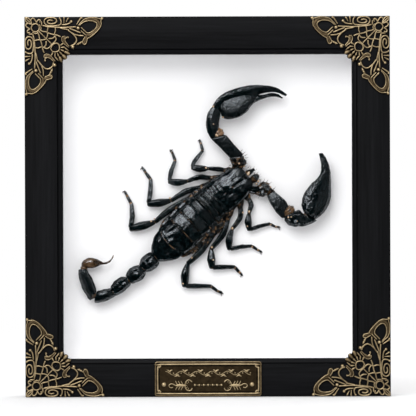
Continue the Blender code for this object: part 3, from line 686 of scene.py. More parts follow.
# %% Casting the four corners
ORNAMENT_BASE = BOARD_Y - FRONT_Y + 0.5
RING_MIDDLE, RING_RADIUS = 11.1, 4.0
FAN_MIDDLE = 31.3
SWELL = 1.14
EDGE_SLIT = 0.05  # kept free inside the frame's outer edge, in mm


def fan_way(degrees):
    """Direction in the corner's plane, counted from the diagonal."""
    angle = math.radians(45 + degrees)
    return np.array([math.cos(angle), math.sin(angle)])


def filigree():
    """All tubes of one ornament, in millimetres from its corner, x and y both running inwards."""
    tubes = []

    def add(path, widths, base=0.0, rise=0.66, around=10, steps=5, shine=1.0):
        path, widths = np.asarray(path, float) * SQUARE, np.asarray(widths) * SQUARE * SWELL
        tubes.append(stroke(path, widths, base, rise, around, steps, shine, edge=2.7))

    def add_both(path, widths, **more):
        add(path, widths, **more)
        add(np.asarray(path, float)[:, ::-1], widths, **more)

    for width, path in ARM:
        add_both(path, width)
    for widths, path in TAPERED:
        add_both(path, widths, rise=0.7)
    for widths, path in FLATS:
        add_both(path, widths, base=-0.1, rise=0.5, around=14, shine=0.56)
    for place, radius in BALLS:
        for middle in (place, place[::-1]):
            tubes.append(ball(np.array(middle) * SQUARE, radius * SQUARE, 0.1, 0.75))
    turn = np.radians(np.linspace(0, 360, 17))
    add(RING_MIDDLE + RING_RADIUS * np.stack([np.cos(turn), np.sin(turn)], axis=1), 1.8, steps=3)
    add(EYELET, 1.8, steps=4)
    add([(14.2, 14.2), (28.4, 28.4)], 1.5, rise=0.5)
    add([(2.2, 2.2), (5.4, 5.4), (8.2, 8.2)], 1.5)
    for k in range(-3, 4):
        add(FAN_MIDDLE + np.outer([5.6, 7.9], fan_way(25 * k)), [1.2, 2.3], steps=3)
    for k in (-1, 0, 1):
        way = fan_way(21.5 * k)
        add(FAN_MIDDLE + np.outer([11.3, 12.9], way), [3.7, 4.6], rise=0.75, around=16, steps=3, shine=0.85)
        add(FAN_MIDDLE + np.outer([10.4, 14.0], way), [0.7, 0.9], base=0.42, rise=0.42, steps=3)
    return tubes


for row in ("top", "bottom"):
    for column in ("left", "right"):
        shape = Shape()
        for rings, proud in filigree():
            inside = np.maximum(rings, (EDGE_SLIT, EDGE_SLIT, -DEPTH))
            placed = inside * (1, -1, 1) + np.array([-HALF_WIDTH, HALF_HEIGHT, ORNAMENT_BASE])
            mirror = (-1 if column == "right" else 1, -1 if row == "bottom" else 1, 1)
            shape.tube(placed * mirror, proud)
        name = f"{row}_{column}"
        shape.finish("filigree_" + name, BRASS, "antique_brass", "corner_ornament_" + name)
print("filigree tubes in a corner:", len(filigree()))

# %% [markdown]
# ## The nameplate
#
# The plate is a stack of outlines: a sunk field inside a proud rounded rim. On the field lie an
# inner line with notched corners, a scroll with leaves at each side, and between them a plain
# running vine over a row of beads, all as strokes like those of the corners.

# %% The nameplate
plate_low, plate_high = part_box("nameplate")
PLATE_X = (plate_high.x - plate_low.x) / 2 / MM
PLATE_Y = (plate_high.z - plate_low.z) / 2 / MM
PLATE_MIDDLE = (plate_low.z + plate_high.z) / 2 / MM - CENTRE_Z
PLATE_BACK = BOARD_Y - plate_high.y / MM
FIELD = PLATE_BACK + 0.72


def rounded_outline(half_x, half_y, radius, points=7):
    """A rectangle with round corners: four arcs, counter-clockwise."""
    arcs = []
    for sx, sy, start in ((1, 1, 0), (-1, 1, 90), (-1, -1, 180), (1, -1, 270)):
        centre = (sx * (half_x - radius), sy * (half_y - radius))
        arcs.append(rounded_corner(centre, radius, start, start + 90, points))
    return np.vstack(arcs)


def notched_outline(half_x, half_y, notch):
    """A rectangle whose corners are bitten out by circles."""
    arcs = []
    for sx, sy, start in ((1, 1, 270), (-1, 1, 0), (-1, -1, 90), (1, -1, 180)):
        arcs.append(rounded_corner((sx * half_x, sy * half_y), notch, start, start - 90, 6))
    return np.vstack([*arcs, arcs[0][:1]])


# The brightness is rubbed brass on the rim. The black band at insets 2.1 to 2.4, just inside the notched
# line, is painted shadow of that line.
PLATE_STEPS = [  # inset, height and brightness, from the back edge over the rim to the field
    (0.0, 0.0, 0), (0.0, 0.9, 0.4), (0.15, 1.1, 0.85), (0.45, 1.16, 0.62), (0.8, 1.08, 0.5),
    (0.95, 0.76, 0.05), (1.15, 0.72, 0.1), (1.95, 0.72, 0.1), (2.1, 0.72, 0.0), (2.4, 0.72, 0.0),
    (2.7, 0.72, 0.31),
]
shape = Shape()
rings, proud = [], []
for inset, rise, shine in PLATE_STEPS:
    outline = rounded_outline(PLATE_X - inset, PLATE_Y - inset, max(1.3 - inset, 0.3))
    rings.append(np.column_stack([outline, np.full(len(outline), PLATE_BACK + rise)]))
    proud.append(np.full(len(outline), shine))
shape.tube(np.array(rings), np.array(proud))
print("plate field at h", round(FIELD, 2), "mm")

# %% [markdown]
# ### Ornament of the nameplate
#
# The inner line, the scrolls, the vine and the beads lie on the field. Each is a stroke or a ball
# like those of the corners, drawn for one side and mirrored to the other.


# %% Ornament of the nameplate
def on_plate(path, widths, rise=0.3, around=8, steps=5):
    rings, proud = stroke(np.asarray(path, float), widths, FIELD, rise, around, steps, edge=0.75)
    shape.tube(rings, proud)


on_plate(notched_outline(PLATE_X - 1.5, PLATE_Y - 1.5, 1.75), 0.95, 0.40, 8, 2)
SCROLL = [  # a curl, a leaf with six points, and a crescent with teeth
    (0.62, [
        (-18.5, -4.4), (-19.3, -4.6), (-20.1, -4.1), (-20.3, -3.2), (-19.5, -2.6), (-18.4, -2.6),
        (-17.5, -3.1), (-16.7, -3.4),
    ]),
    ([0.5, 1.5, 1.9, 1.7, 1.3], [
        (-17.0, -3.4), (-15.9, -3.4), (-14.6, -3.4), (-13.3, -3.4), (-12.0, -3.4),
    ]),
    (0.66, [
        (-8.5, -1.5), (-9.2, -0.8), (-10.1, -0.5), (-10.9, -0.8), (-11.6, -1.6), (-11.9, -2.4),
        (-12.0, -3.4), (-11.9, -4.3), (-11.5, -5.3), (-10.7, -5.9), (-9.7, -6.1), (-8.8, -5.7),
        (-8.4, -5.0),
    ]),
]
LEAF_Y = -3.4
LEAF_POINT = np.array([(0.0, 0.7), (-0.5, 1.5), (-0.75, 2.1)])
for x in (-16.1, -14.6, -13.2):
    for side in (1, -1):
        SCROLL.append((0.55, LEAF_POINT * (1, side) + (x, LEAF_Y)))
for k in range(-2, 3):
    angle = math.radians(180 + 38 * k)
    tooth = np.outer([2.6, 1.5], [0.75 * math.cos(angle), math.sin(angle)])
    SCROLL.append((0.45, tooth + (-10.0, -3.3)))
for width, path in SCROLL:
    for side in (1, -1):
        on_plate(np.array(path) * (side, 1), width)
VINE_Y, VINE_PITCH = 3.0, 4.0
VINE_LEAF = np.array([(-1.4, 1.7), (-0.5, 1.35), (0.6, 0.5)])
vine_x = np.linspace(-22.0, 22.0, 45)
vine = np.column_stack([vine_x, VINE_Y + 0.95 * np.sin(vine_x * math.pi / VINE_PITCH)])
on_plate(vine, 0.52, 0.34, 8, 3)
for k in range(-5, 6):
    x, up = VINE_PITCH * k, (1 if k % 2 else -1)
    for side in (1, -1):
        on_plate(VINE_LEAF * (side, up) + (x, VINE_Y), [0.35, 0.95, 0.4], 0.34)
    shape.tube(*ball((x + VINE_PITCH / 2, VINE_Y), 0.52, FIELD, 0.42, 10, 5))
for k in range(-6, 7):
    radius, rise = (0.34, 0.35) if k % 2 else (0.8, 0.6)
    shape.tube(*ball((1.15 * k, -3.2), radius, FIELD, rise, 12, 7))
for points in shape.points:
    points[:, 1] += PLATE_MIDDLE
shape.finish("relief_nameplate", BRASS, "antique_brass", "nameplate", sharp=50)
print("strokes of a scroll:", len(SCROLL))

# %% [markdown]
# ### The two pins
#
# A pin is turned: a dome on a shank. Its rings are circles whose radius follows the dome's cosine
# and whose height follows its sine. The shank goes through the plate into the rail.

# %% The two pins
HEAD_RADIUS, HEAD_RISE, SHANK_RADIUS, SHANK_LENGTH = 1.15, 0.8, 0.5, 5.0
HEAD_BASE = 0.3
for side in ("left", "right"):
    low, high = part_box("nameplate_pin_" + side)
    x, y = (low.x + high.x) / 2 / MM, (low.z + high.z) / 2 / MM - CENTRE_Z
    dome = np.radians([88, 70, 50, 30, 12, 0])
    radii = np.concatenate([HEAD_RADIUS * np.cos(dome), [HEAD_RADIUS, SHANK_RADIUS, SHANK_RADIUS]])[:, None]
    heights = [HEAD_BASE, HEAD_BASE - 0.02, -SHANK_LENGTH]
    heights = np.concatenate([HEAD_BASE + HEAD_RISE * np.sin(dome), heights])
    heights = heights[:, None] + PLATE_BACK + 0.8
    angle = circle_angles(20)
    rings = np.dstack([x + radii * np.cos(angle), y + radii * np.sin(angle), heights + 0 * angle])
    shape = Shape()
    shape.tube(rings, np.clip(0.75 + 0.25 * np.sin(np.append(dome, [0, 0, 0])), 0, 1)[:, None])
    shape.finish(f"domed_pin_{side}", BRASS, "antique_brass", "nameplate_pin_" + side)
print("pin heads stand", HEAD_BASE + HEAD_RISE, "mm over the plate")

# %% [markdown]
# ## Shell of the animal
#
# A scorpion's shell is a hard, almost black cuticle that shines blue where a large lamp is
# mirrored in it. Dried joints show their soft skin, from brown to tan, and the edges of the plates
# are horn brown. One finish does all of it: the painted value runs from 0 for shell to 1 for pale
# skin, below 0 the shell is dull, and noise breaks it up. Steep sides are dusty and don't shine,
# so that they don't mirror the white card. Fine pits and grains are bump; folds and keels are geometry.


# %% Shell of the animal
def cuticle():
    finish = Finish("cuticle")
    where = finish.place()
    blots = finish.noise(where, 520.0, 4.0, 0.62)
    clouds = finish.noise(where, 240.0, 1.0)
    creases = finish.noise(where, 340.0, 0.0)
    mottles = finish.noise(where, 1700.0, 1.0)
    tone = finish.painted() + (blots - 0.5) * 0.42
    colour = finish.ramp(
        tone,
        [(0.12, (0.0012, 0.0034, 0.0040)), (0.30, (0.005, 0.006, 0.006)), (0.45, (0.036, 0.021, 0.011)),
         (0.62, (0.108, 0.063, 0.033)), (0.80, (0.34, 0.20, 0.11)), (1.0, (0.62, 0.47, 0.32))],
    )
    relief = finish.bump(creases * 0.26 + mottles * 0.012, 0.4, 0.0006)
    polish = finish.spread(clouds, 0.35, 0.7, 0.09, 0.20)
    finish.shade(
        Base_Color=colour,
        Roughness=finish.spread(finish.painted(), -0.4, 0.0, 0.44, polish),
        Normal=relief,
        IOR=1.55,
        Specular_Tint=(0.84, 0.92, 1.0, 1.0),
        Coat_Weight=0.2,
        Coat_Roughness=0.04,
    )
    side = finish.spread(finish.painted("facing") + (clouds - 0.5) * 0.2, 0.25, 0.60, 1.0, 0.0)
    dusty_inputs = {"Base Color": colour, "Roughness": 0.6, "Specular IOR Level": 0.12, "Normal": relief}
    dusty = finish.node("ShaderNodeBsdfPrincipled", {}, dusty_inputs)
    finish.blend(side, finish.main, dusty)
    return finish.material


SHELL = cuticle()
print("nodes in the shell's finish:", len(SHELL.node_tree.nodes))

# %% [markdown]
# ## Dents, wrinkles and stains
#
# A dried shell is nowhere smooth. Its relief is noise that is worked out for whole arrays of
# points: one soft layer, waves, for dents that keep the gloss clean, and three layers, folds, for
# rough skin. The same noise stains the paint, so stains need no picture. Blender's Displace modifier
# could do the relief too, but it can't be read back to paint the same places.


# %% Dents, wrinkles and stains
def lattice_noise(points, size, seed=0):
    """Smooth random values from 0 to 1: a hash of the eight corners of the cell that a point is
    in, blended by its place in the cell along x, y and h. Size is the cell's side."""
    p = np.asarray(points, float) / size + 37.0 * (seed + 1)
    cell = np.floor(p).astype(np.int64)
    f = p - cell
    f = f * f * (3 - 2 * f)
    total = np.zeros(p.shape[:-1])
    for corner in range(8):
        step = np.array([corner & 1, corner >> 1 & 1, corner >> 2 & 1])
        x, y, z = np.moveaxis(cell + step, -1, 0)
        mixed = (x * 73856093) ^ (y * 19349663) ^ (z * 83492791)
        mixed = (mixed ^ (mixed >> 13)) * 1274126177 & 0x7FFFFFFF
        value = ((mixed ^ (mixed >> 16)) & 0xFFFF) / 0xFFFF
        total += value * np.prod(np.where(step, f, 1 - f), axis=-1)
    return total


MEAN_OF_FOLDS = 0.722  # half of 1 + 1/3 + 1/9


def folds(points, size, seed=0):
    """Rough relief from -1 to 1: three layers of noise, each half as large and a third as high."""
    total = sum(lattice_noise(points, size / 2**k, seed + k) / 3**k for k in range(3))
    return total / MEAN_OF_FOLDS - 1.0


def waves(points, size, seed=0):
    """Smooth relief from -1 to 1, without the finer layers."""
    return 2 * lattice_noise(points, size, seed) - 1


def patches(points, size, seed, level):
    """Scattered stains: what of the folds stands above a level, and 0 elsewhere."""
    return np.clip(folds(points, size, seed) - level, 0, 1)


grid = np.stack(np.meshgrid(np.arange(20.0), np.arange(20.0), [0.0]), axis=-1)
print("waves reach", round(float(waves(grid, 2.3).min()), 2), "to", round(float(waves(grid, 2.3).max()), 2))

# %% [markdown]
# ## Limbs
#
# Legs, arms and tail are grown tubes. Each is given by a few sections, with the two edges that the
# photograph shows from the front, and a smooth curve through the sections fills in the rest. The
# sections are superellipses, which go from round to nearly square by one power. Ridges, dents and
# grain move the points along the surface's normal. A sculpted mesh would need thousands of points.


# %% Limbs
def outward(rings, middle):
    """Unit normals of a tube: the cross product of its two directions, turned away from its axis."""
    along = np.gradient(rings, axis=0)
    around = np.roll(rings, -1, axis=1) - np.roll(rings, 1, axis=1)
    normal = np.cross(along, around)
    normal /= np.linalg.norm(normal, axis=-1, keepdims=True) + 1e-9
    inside = np.einsum("ijk,ijk->ij", normal, rings - middle).sum() < 0
    return -normal if inside else normal


def limb(sections, around, steps, square=2.0, keels=(), wrinkle=0.08, wrinkle_size=1.6, grain=0.012,
         seed=0, cap=0.45, rim=0.42, grain_size=0.55, lean=0.0):
    """A grown segment. Each section gives its two edges in the plane of the board, the height of
    its middle and its thickness; between them it is a superellipse, |x|^square + |y|^square = 1.
    Lean tips it sideways: a share of its half width by which one side lies higher. Both ends are
    rounded off over cap times their half width. Keels are ridges along it: angle, height, width in
    degrees, and the spacing of their beads, 0 for none. Wrinkles are soft and grain is rough, and
    both have a height and a size. The paint is as brown as rim says at both ends, and dark between."""
    rows = smooth_rows([[*a, *b, h, t] for a, b, h, t in sections], steps)
    centre = np.column_stack([(rows[:, 0] + rows[:, 2]) / 2, (rows[:, 1] + rows[:, 3]) / 2, rows[:, 4]])
    half = np.column_stack([(rows[:, 2] - rows[:, 0]) / 2, (rows[:, 3] - rows[:, 1]) / 2, 0 * rows[:, 4]])
    up = np.abs(rows[:, 5]) / 2
    quarter = np.radians([84.0, 66.0, 46.0, 24.0])
    shrink = np.concatenate([np.cos(quarter), np.ones(len(rows)), np.cos(quarter[::-1])])
    axis_a, axis_b = centre[0] - centre[1], centre[-1] - centre[-2]
    axis_a, axis_b = (axis / np.linalg.norm(axis) for axis in (axis_a, axis_b))
    cap_a, cap_b = cap * np.linalg.norm(half[0]), cap * np.linalg.norm(half[-1])
    first = centre[0] + np.outer(np.sin(quarter) * cap_a, axis_a)
    last = centre[-1] + np.outer(np.sin(quarter[::-1]) * cap_b, axis_b)
    centre = np.vstack([first, centre, last])
    extra = len(quarter)
    half = np.vstack([np.tile(half[0], (extra, 1)), half, np.tile(half[-1], (extra, 1))]) * shrink[:, None]
    up = np.concatenate([np.full(extra, up[0]), up, np.full(extra, up[-1])]) * shrink
    angle = circle_angles(around)
    c = np.sign(np.cos(angle)) * np.abs(np.cos(angle)) ** (2 / square)
    s = np.sign(np.sin(angle)) * np.abs(np.sin(angle)) ** (2 / square)
    rings = centre[:, None, :] + half[:, None, :] * c[:, None]
    rings[..., 2] += up[:, None] * s + lean * np.linalg.norm(half, axis=1)[:, None] * c
    length = np.concatenate([[0], np.cumsum(np.linalg.norm(np.diff(centre, axis=0), axis=1))])
    place = length / length[-1]
    fade = np.clip(np.minimum(place, 1 - place) * 8, 0, 1)[:, None]
    lift = wrinkle * waves(rings, wrinkle_size, seed) + grain * folds(rings, grain_size, seed + 7)
    for at, high, wide, bead in keels:
        off = (np.degrees(angle) - at + 180) % 360 - 180
        ridge = bell(off, 0, wide)
        beads = 0.55 + 0.45 * np.abs(np.sin(math.pi * length / bead))[:, None] if bead else 1.0
        lift = lift + high * ridge * beads
    rings = rings + outward(rings, centre[:, None, :]) * (lift * (0.25 + 0.75 * fade))[..., None]
    browned = np.clip(1 - np.minimum(place, 1 - place) * length[-1] / 0.5, 0, 1)[:, None]
    return rings, browned * rim + 0.02 * np.ones(around)


rings, paint = limb([((0, -1), (0, 1), 3, 2), ((4, -1.5), (4, 1.5), 3, 3), ((8, -1), (8, 1), 3, 2)], 24, 6)
print("a limb of three sections has", rings.shape[0], "rings of", rings.shape[1], "points")

# %% [markdown]
# ## Joint skin, bristles and knobs
#
# Where two limbs meet, soft skin has dried in pleats: a tube whose radius swells in its middle and
# ripples along it. Bristles are needles with a slight bow, and some joints show a small pale knob.


# %% Joint skin, bristles and knobs
def skin_joint(shape, a, b, width, height, tone=0.75, seed=0):
    """Pleated joint skin between two points: a tube whose radius swells and pinches along it."""
    a, b = np.asarray(a, float), np.asarray(b, float)
    t = np.linspace(0, 1, 13)[:, None]
    axis = (b - a) / np.linalg.norm(b - a)
    side = np.array([-axis[1], axis[0], 0.0])
    angle = circle_angles(24)
    pleats = 1 + 0.07 * np.cos(t * 6 * math.pi)
    swell = (0.35 + 0.65 * np.sin(math.pi * np.clip(t, 0.04, 0.96)) ** 0.5) * pleats
    line = (a + (b - a) * t)[:, None, :]
    rings = line + side * (swell * width / 2 * np.cos(angle))[..., None]
    rings[..., 2] += swell * height / 2 * np.sin(angle)
    rings = rings + (rings - line) * 0.12 * folds(rings, 0.8, seed)[..., None]
    shape.tube(rings, tone + 0.2 * folds(rings, 0.9, seed + 3))


def bristle(shape, root, tip, width, tone):
    """A stiff hair: four-sided, and a tenth as thick at its tip as at its root."""
    root, tip = np.asarray(root, float), np.asarray(tip, float)
    way = (tip - root) / np.linalg.norm(tip - root)
    side = np.cross(way, (0.0, 0.0, 1.0))
    side /= np.linalg.norm(side) + 1e-9
    other = np.cross(way, side)
    t = np.linspace(0, 1, 4)[:, None, None]
    bow = np.sin(math.pi * t) * 0.12 * np.linalg.norm(tip - root) * side
    angle = circle_angles(4)
    ring = side * np.cos(angle)[:, None] + other * np.sin(angle)[:, None]
    shape.tube(root + (tip - root) * t + bow + ring * width / 2 * (1 - 0.9 * t), tone)


def bristles(shape, rows, low, high, width, tone=0.62):
    """Bristles from the rows' first x, y to their second, from the height low to the height high."""
    for x1, y1, x2, y2 in rows:
        bristle(shape, (x1, y1, low), (x2, y2, high), width, tone)


def tan_knob(shape, x, y, h, radius, knob_top_highlight=0.2):
    """A small pale knob at a joint, with a painted highlight that makes it palest on top."""
    rings, proud = ball((x, y), radius, h, radius * 0.8)
    # painted highlight: the paint grows paler towards the knob's top
    shape.tube(rings, 0.72 + knob_top_highlight * proud)


trial = Shape()
bristle(trial, (0, 0, 0), (1, 0, 1), 0.3, 0.6)
print("points in a bristle:", trial.total)

# %% [markdown]
# ## Plates of the back
#
# These plates are domes seen from above: across the body the height falls off as one minus a
# power of the distance from the middle, and along the body the outline is a curve through a few
# half widths. The body is bent at its waist, so the head and the back each have a heading.

# %% Plates of the back
WAIST = (4.0, 3.4)
HEAD_HEADING = 37.4
BACK_HEADING = 43.5


def body_point(heading, s, w, h):
    """Board point s mm forward of the waist and w mm to the animal's right, for arrays too."""
    angle = np.radians(heading)
    x = WAIST[0] + s * np.cos(angle) + w * np.sin(angle)
    y = WAIST[1] + s * np.sin(angle) - w * np.cos(angle)
    return np.stack(np.broadcast_arrays(x, y, h), axis=-1)


def shield(rows, headings, relief, across=90, steps=10, notch=0.0, curve=(1.9, 0.62, 1.0)):
    """Rows give place, half width, crown, rim and forward bow, from back to front. t runs from -1
    at the left edge to 1 at the right: height = rim + (crown - rim) (1 - |t / c|^a)^b, flat beyond c, with
    a, b, c = curve, and the relief, a function of place, t and share of the length, is added to it."""
    s, half_width, crown, rim, bow = smooth_rows(rows, steps).T[:, :, None]
    share = np.linspace(0, 1, len(s))[:, None]
    heading = headings[0] + (headings[1] - headings[0]) * share

    def forward(t):
        return s + bow * (1 - t**2) - notch * share**6 * bell(t, 0, 0.28)

    t = np.sin(np.linspace(-math.pi / 2, math.pi / 2, across))[None, :]
    along = forward(t)
    dome = (1 - np.minimum(np.abs(t) / curve[2], 1) ** curve[0]) ** curve[1]
    height = rim + (crown - rim) * dome
    lift, tone = relief(along, t, share, half_width)
    top = body_point(heading, along, t * half_width, height + lift)
    under_t = np.linspace(1, -1, 11)[None, :]
    under = body_point(heading, forward(under_t), under_t * (half_width - 0.25), rim - 0.55)
    rings = np.concatenate([top, under], axis=1)
    paint = np.concatenate([np.broadcast_to(tone, lift.shape), np.full(under.shape[:2], 0.45)], axis=1)
    return rings, paint


def hollow(s, w, at, size):
    """A bell-shaped weight round a point: 1 in its middle, size gives its reach along and across."""
    return np.exp(-(((s - at[0]) / size[0]) ** 2) - ((w - at[1]) / size[1]) ** 2)


print("a shield's height in mm, at its edge, between and in its middle:")
print([round(5.0 + 4.0 * (1 - abs(t) ** 1.9) ** 0.62, 2) for t in (1.0, 0.6, 0.0)])

# %% [markdown]
# ### The head shield
#
# It has a notch in front between two lobes, a middle furrow with the eye hump in it, and dents that
# broke into it while it dried. Each is a bell round a place, added to the dome or taken off it.


# %% The head shield
def head_relief(s, t, share, half_width):
    """The middle furrow with the eye hump in it, dents beside it, lobes in front, and wrinkles."""
    w = t * half_width
    flat = np.stack(np.broadcast_arrays(s * 0.6, w, 0 * s), axis=-1)
    lift = 0.28 * waves(flat, 2.8, 3) + 0.17 * waves(flat, 1.6, 5)
    lift = lift + 0.13 * waves(flat * (0.6, 1.5, 1), 1.3, 21)
    line = 1.2 - 0.13 * s + 0.006 * s**2
    deep = 0.15 + 0.60 * np.clip((s - 9) / 4, 0, 1)
    lift = lift - deep * bell(w, line, 0.75) * np.clip((19.5 - s) / 3, 0, 1)
    lift = lift + 0.55 * hollow(s, w, (10.6, 0.1), (1.3, 0.5)) - 0.40 * hollow(s, w, (8.8, 2.7), (3.2, 0.9))
    lift = lift - 0.35 * hollow(s, w, (3.6, -4.4), (0.7, 2.2)) - 0.30 * hollow(s, w, (6.4, -2.6), (0.6, 2.0))
    lift = lift + 0.40 * hollow(s, w, (18.6, -3.4), (2.0, 1.7)) + 0.40 * hollow(s, w, (18.4, 3.6), (2.0, 1.7))
    lift = lift - 0.45 * bell(s - 1.7 - 0.10 * np.abs(w), 0, 0.5) * (1 - t**2)
    edge = np.clip((np.abs(t) - 0.95) / 0.05, 0, 1)
    tone = 0.04 + 0.34 * edge**2 + 0.30 * np.clip((share - 0.975) / 0.025, 0, 1)
    tone = tone + 0.50 * hollow(s, w, (11.2, 0.2), (0.7, 0.35)) + 0.55 * hollow(s, w, (6.4, 0.6), (0.5, 0.3))
    tone = tone + 0.30 * patches(flat, 0.9, 11, 0.4)
    tone = tone - 0.5 * hollow(s, w, (19.6, -3.4), (3.4, 2.6)) - 0.5 * hollow(s, w, (18.8, 3.8), (3.2, 2.4))
    return lift * (1 - 0.5 * edge), tone


HEAD_ROWS = [  # place, half width, crown, rim and forward bow
    (0.2, 9.2, 8.9, 5.0, 0.5), (4.0, 9.6, 9.3, 5.0, 0.3), (8.0, 9.3, 9.4, 5.1, 0.2),
    (12.0, 8.8, 9.2, 5.3, 0.1), (16.0, 8.0, 8.8, 5.6, 0.0), (19.0, 6.9, 8.2, 6.0, 0.2),
    (20.6, 5.4, 7.4, 6.2, 1.2),
]
shape = Shape()
shape.tube(*shield(HEAD_ROWS, (HEAD_HEADING, HEAD_HEADING), head_relief, 170, 20, 3.4))
shape.finish("head_shield", SHELL, "black_cuticle", "carapace", sharp=60)
print("head shield, points:", shape.total)

# %% [markdown]
# ### The back plates
#
# The first six are low in front and raised at the rear, where each laps over the next. The dried
# borders are tan. The plates are smooth enough to mirror the lamp, each with its own dents.

# %% The back plates
BORDERS = [0.0, -3.6, -7.1, -12.0, -18.0, -24.5, -31.9]
PLATE_HALF_WIDTHS = [9.2, 9.4, 9.8, 10.3, 10.6, 10.7, 9.4]
CROWNS = [8.5, 8.8, 9.2, 9.5, 9.6, 9.4, 8.6]
TAN_OF_BORDERS = [0.32, 0.36, 0.36, 0.45, 0.62, 0.62]
NARROW_PLATES = 3  # the first ones, with fine cross lines


def plate_relief(number):
    """The relief function of one plate."""

    def relief(s, t, share, half_width):
        """Shallow dents, fine cross lines on the narrow front plates, a raised rear lip behind a
        groove, and a rolled rim beside each edge."""
        w = t * half_width
        length = BORDERS[number] - BORDERS[number + 1]
        d = share * length
        inside = half_width * (1 - np.abs(t))
        flat = np.stack(np.broadcast_arrays(s * 0.5, w * 1.2, 0 * s + 9.0 * number), axis=-1)
        streaks = 0.29 * waves(flat, 2.3, number) + 0.17 * waves(flat * (2, 0.8, 1), 2.4, number + 30)
        streaks = streaks + 0.08 * waves(flat * (0.8, 1.5, 1), 1.3, number + 60)
        lift = (0.3 if number < NARROW_PLATES else 1.0) * streaks * np.clip(d / 1.2 - 0.6, 0, 1)
        if number < NARROW_PLATES:
            lift = lift + 0.07 * np.sin(2 * math.pi * (d / (1.05 + 0.1 * number) + 0.03 * w))
        lift = lift + 0.20 * bell(d, 0.35, 0.32) - 0.22 * bell(d, 0.9, 0.2)
        lift = lift + 0.34 * bell(inside, 0.85, 0.62) * np.clip(d - 0.4, 0, 1)
        lip = bell(d, 0.55, 0.3) * (np.abs(t + 0.05) < 0.75)
        uneven = np.clip(0.8 + 0.6 * folds(flat, 3.0, number + 5), 0, 1)
        tone = 0.03 + TAN_OF_BORDERS[number] * lip * uneven + 0.3 * (inside < 0.25)
        return lift, tone + 0.45 * patches(flat, 1.2, number + 9, 0.42) * (t > -0.3)

    return relief


for k in range(6):
    front, back = BORDERS[k] - (0.3 if k else 0.2), BORDERS[k + 1]
    widths = PLATE_HALF_WIDTHS[k : k + 2]
    sag = -2.4 if k == 5 else 0.5
    rows = [
        (back, widths[1], CROWNS[k + 1] + 0.32, 5.8, sag),
        ((front + back) / 2, sum(widths) / 2, CROWNS[k + 1] + 0.05, 5.7, 0.5 + (sag - 0.5) * 0.4),
        (front, widths[0], CROWNS[k] - 0.45, 5.5, 0.5),
    ]
    shape = Shape()
    headings = (BACK_HEADING, BACK_HEADING if k else HEAD_HEADING)
    shape.tube(*shield(rows, headings, plate_relief(k), 150, 24, curve=(1.4, 0.5, 0.87)))
    shape.finish(f"back_plate_{k + 1}", SHELL, "black_cuticle", f"tergite_{k + 1}", sharp=60)
print("free plates:", len(TAN_OF_BORDERS))

# %% [markdown]
# ## Flank and seventh ring
#
# Under the plates lies the soft flank, dried into brown folds, which shows along the right side.
# The seventh ring closes the trunk and tapers to the tail. Both are limbs with sections square to
# the body, and the flank's relief is rough where a plate's is soft.

# %% Flank and seventh ring
FLANK = [  # heading, place, reach to the left and right, height and thickness
    (HEAD_HEADING, 15.5, 5.4, 6.4, 3.3, 4.2), (HEAD_HEADING, 8.0, 8.6, 9.4, 3.3, 4.6),
    (BACK_HEADING, -1.0, 10.2, 11.0, 3.3, 5.0), (BACK_HEADING, -12.0, 11.2, 13.2, 3.4, 5.2),
    (BACK_HEADING, -24.0, 11.0, 12.9, 3.4, 5.2), (BACK_HEADING, -31.0, 9.6, 11.0, 3.3, 4.6),
]
SEVENTH = [
    (BACK_HEADING, -32.4, 9.0, 9.0, 4.9, 6.8), (BACK_HEADING, -36.5, 8.2, 8.2, 4.8, 6.6),
    (BACK_HEADING, -40.2, 6.0, 6.0, 4.7, 6.2), (BACK_HEADING, -42.9, 3.6, 3.6, 4.6, 5.2),
]
SEVENTH_KEELS = ((62, 0.25, 6, 0), (118, 0.25, 6, 0), (20, 0.2, 7, 0), (160, 0.2, 7, 0))


def across_body(heading, s, left, right, h, thick):
    return (body_point(heading, s, -left, 0)[:2], body_point(heading, s, right, 0)[:2], h, thick)


shape = Shape()
flank = [across_body(*row) for row in FLANK]
rings, paint = limb(flank, 130, 34, 2.6, (), 0.8, 1.9, 0.5, 40, grain_size=0.8)
shape.tube(rings, 0.29 + 0.68 * folds(rings, 1.1, 9))
shape.finish("soft_flank", SHELL, "brown_cuticle", "belly")

shape = Shape()
seventh = [across_body(*row) for row in SEVENTH]
shape.tube(*limb(seventh, 72, 14, 2.4, SEVENTH_KEELS, 0.16, 2.6, 0.01, 50, cap=0.2))
shape.finish("seventh_ring", SHELL, "black_cuticle", "tergite_7")
print("sections of the trunk:", len(FLANK) + len(SEVENTH))

# %% [markdown]
# ## Tail
#
# The tail's five rings are keeled barrels, joined by brown skin. Each is a limb whose first and
# last section are thinner, with four ridges of low beads along it. The first ring has three cross
# folds and a furrow besides, and the last one is rough and duller.

# %% Tail
TAIL = [  # for each ring the two edges of its sections, from the trunk to the sting
    [
        ((-30.2, -24.2), (-25.8, -29.6)), ((-32.9, -25.2), (-26.6, -31.8)),
        ((-35.0, -27.4), (-29.5, -33.7)), ((-35.6, -30.0), (-31.9, -33.8)),
    ],
    [
        ((-36.1, -30.8), (-32.7, -34.4)), ((-38.9, -31.3), (-32.9, -36.3)),
        ((-41.5, -33.1), (-35.5, -38.9)), ((-42.7, -36.0), (-39.5, -40.0)),
    ],
    [
        ((-43.2, -37.0), (-40.5, -40.4)), ((-45.7, -37.0), (-41.6, -42.3)),
        ((-48.9, -39.1), (-44.4, -44.7)), ((-50.6, -42.0), (-48.4, -46.3)),
    ],
    [
        ((-50.9, -43.0), (-49.1, -46.7)), ((-54.1, -43.2), (-51.0, -48.3)),
        ((-57.3, -44.0), (-54.9, -49.8)), ((-58.3, -45.5), (-59.0, -49.9)),
    ],
    [
        ((-58.6, -44.3), (-61.6, -48.6)), ((-59.1, -41.2), (-65.1, -44.1)),
        ((-60.4, -38.1), (-66.9, -39.4)), ((-62.5, -34.5), (-67.7, -35.4)),
        ((-63.4, -32.9), (-67.5, -33.2)),
    ],
]
TAIL_MIDDLES = [4.7, 4.8, 4.8, 4.7, 4.6]
TAIL_THICKNESS = [7.0, 7.0, 6.6, 6.0, 5.6]
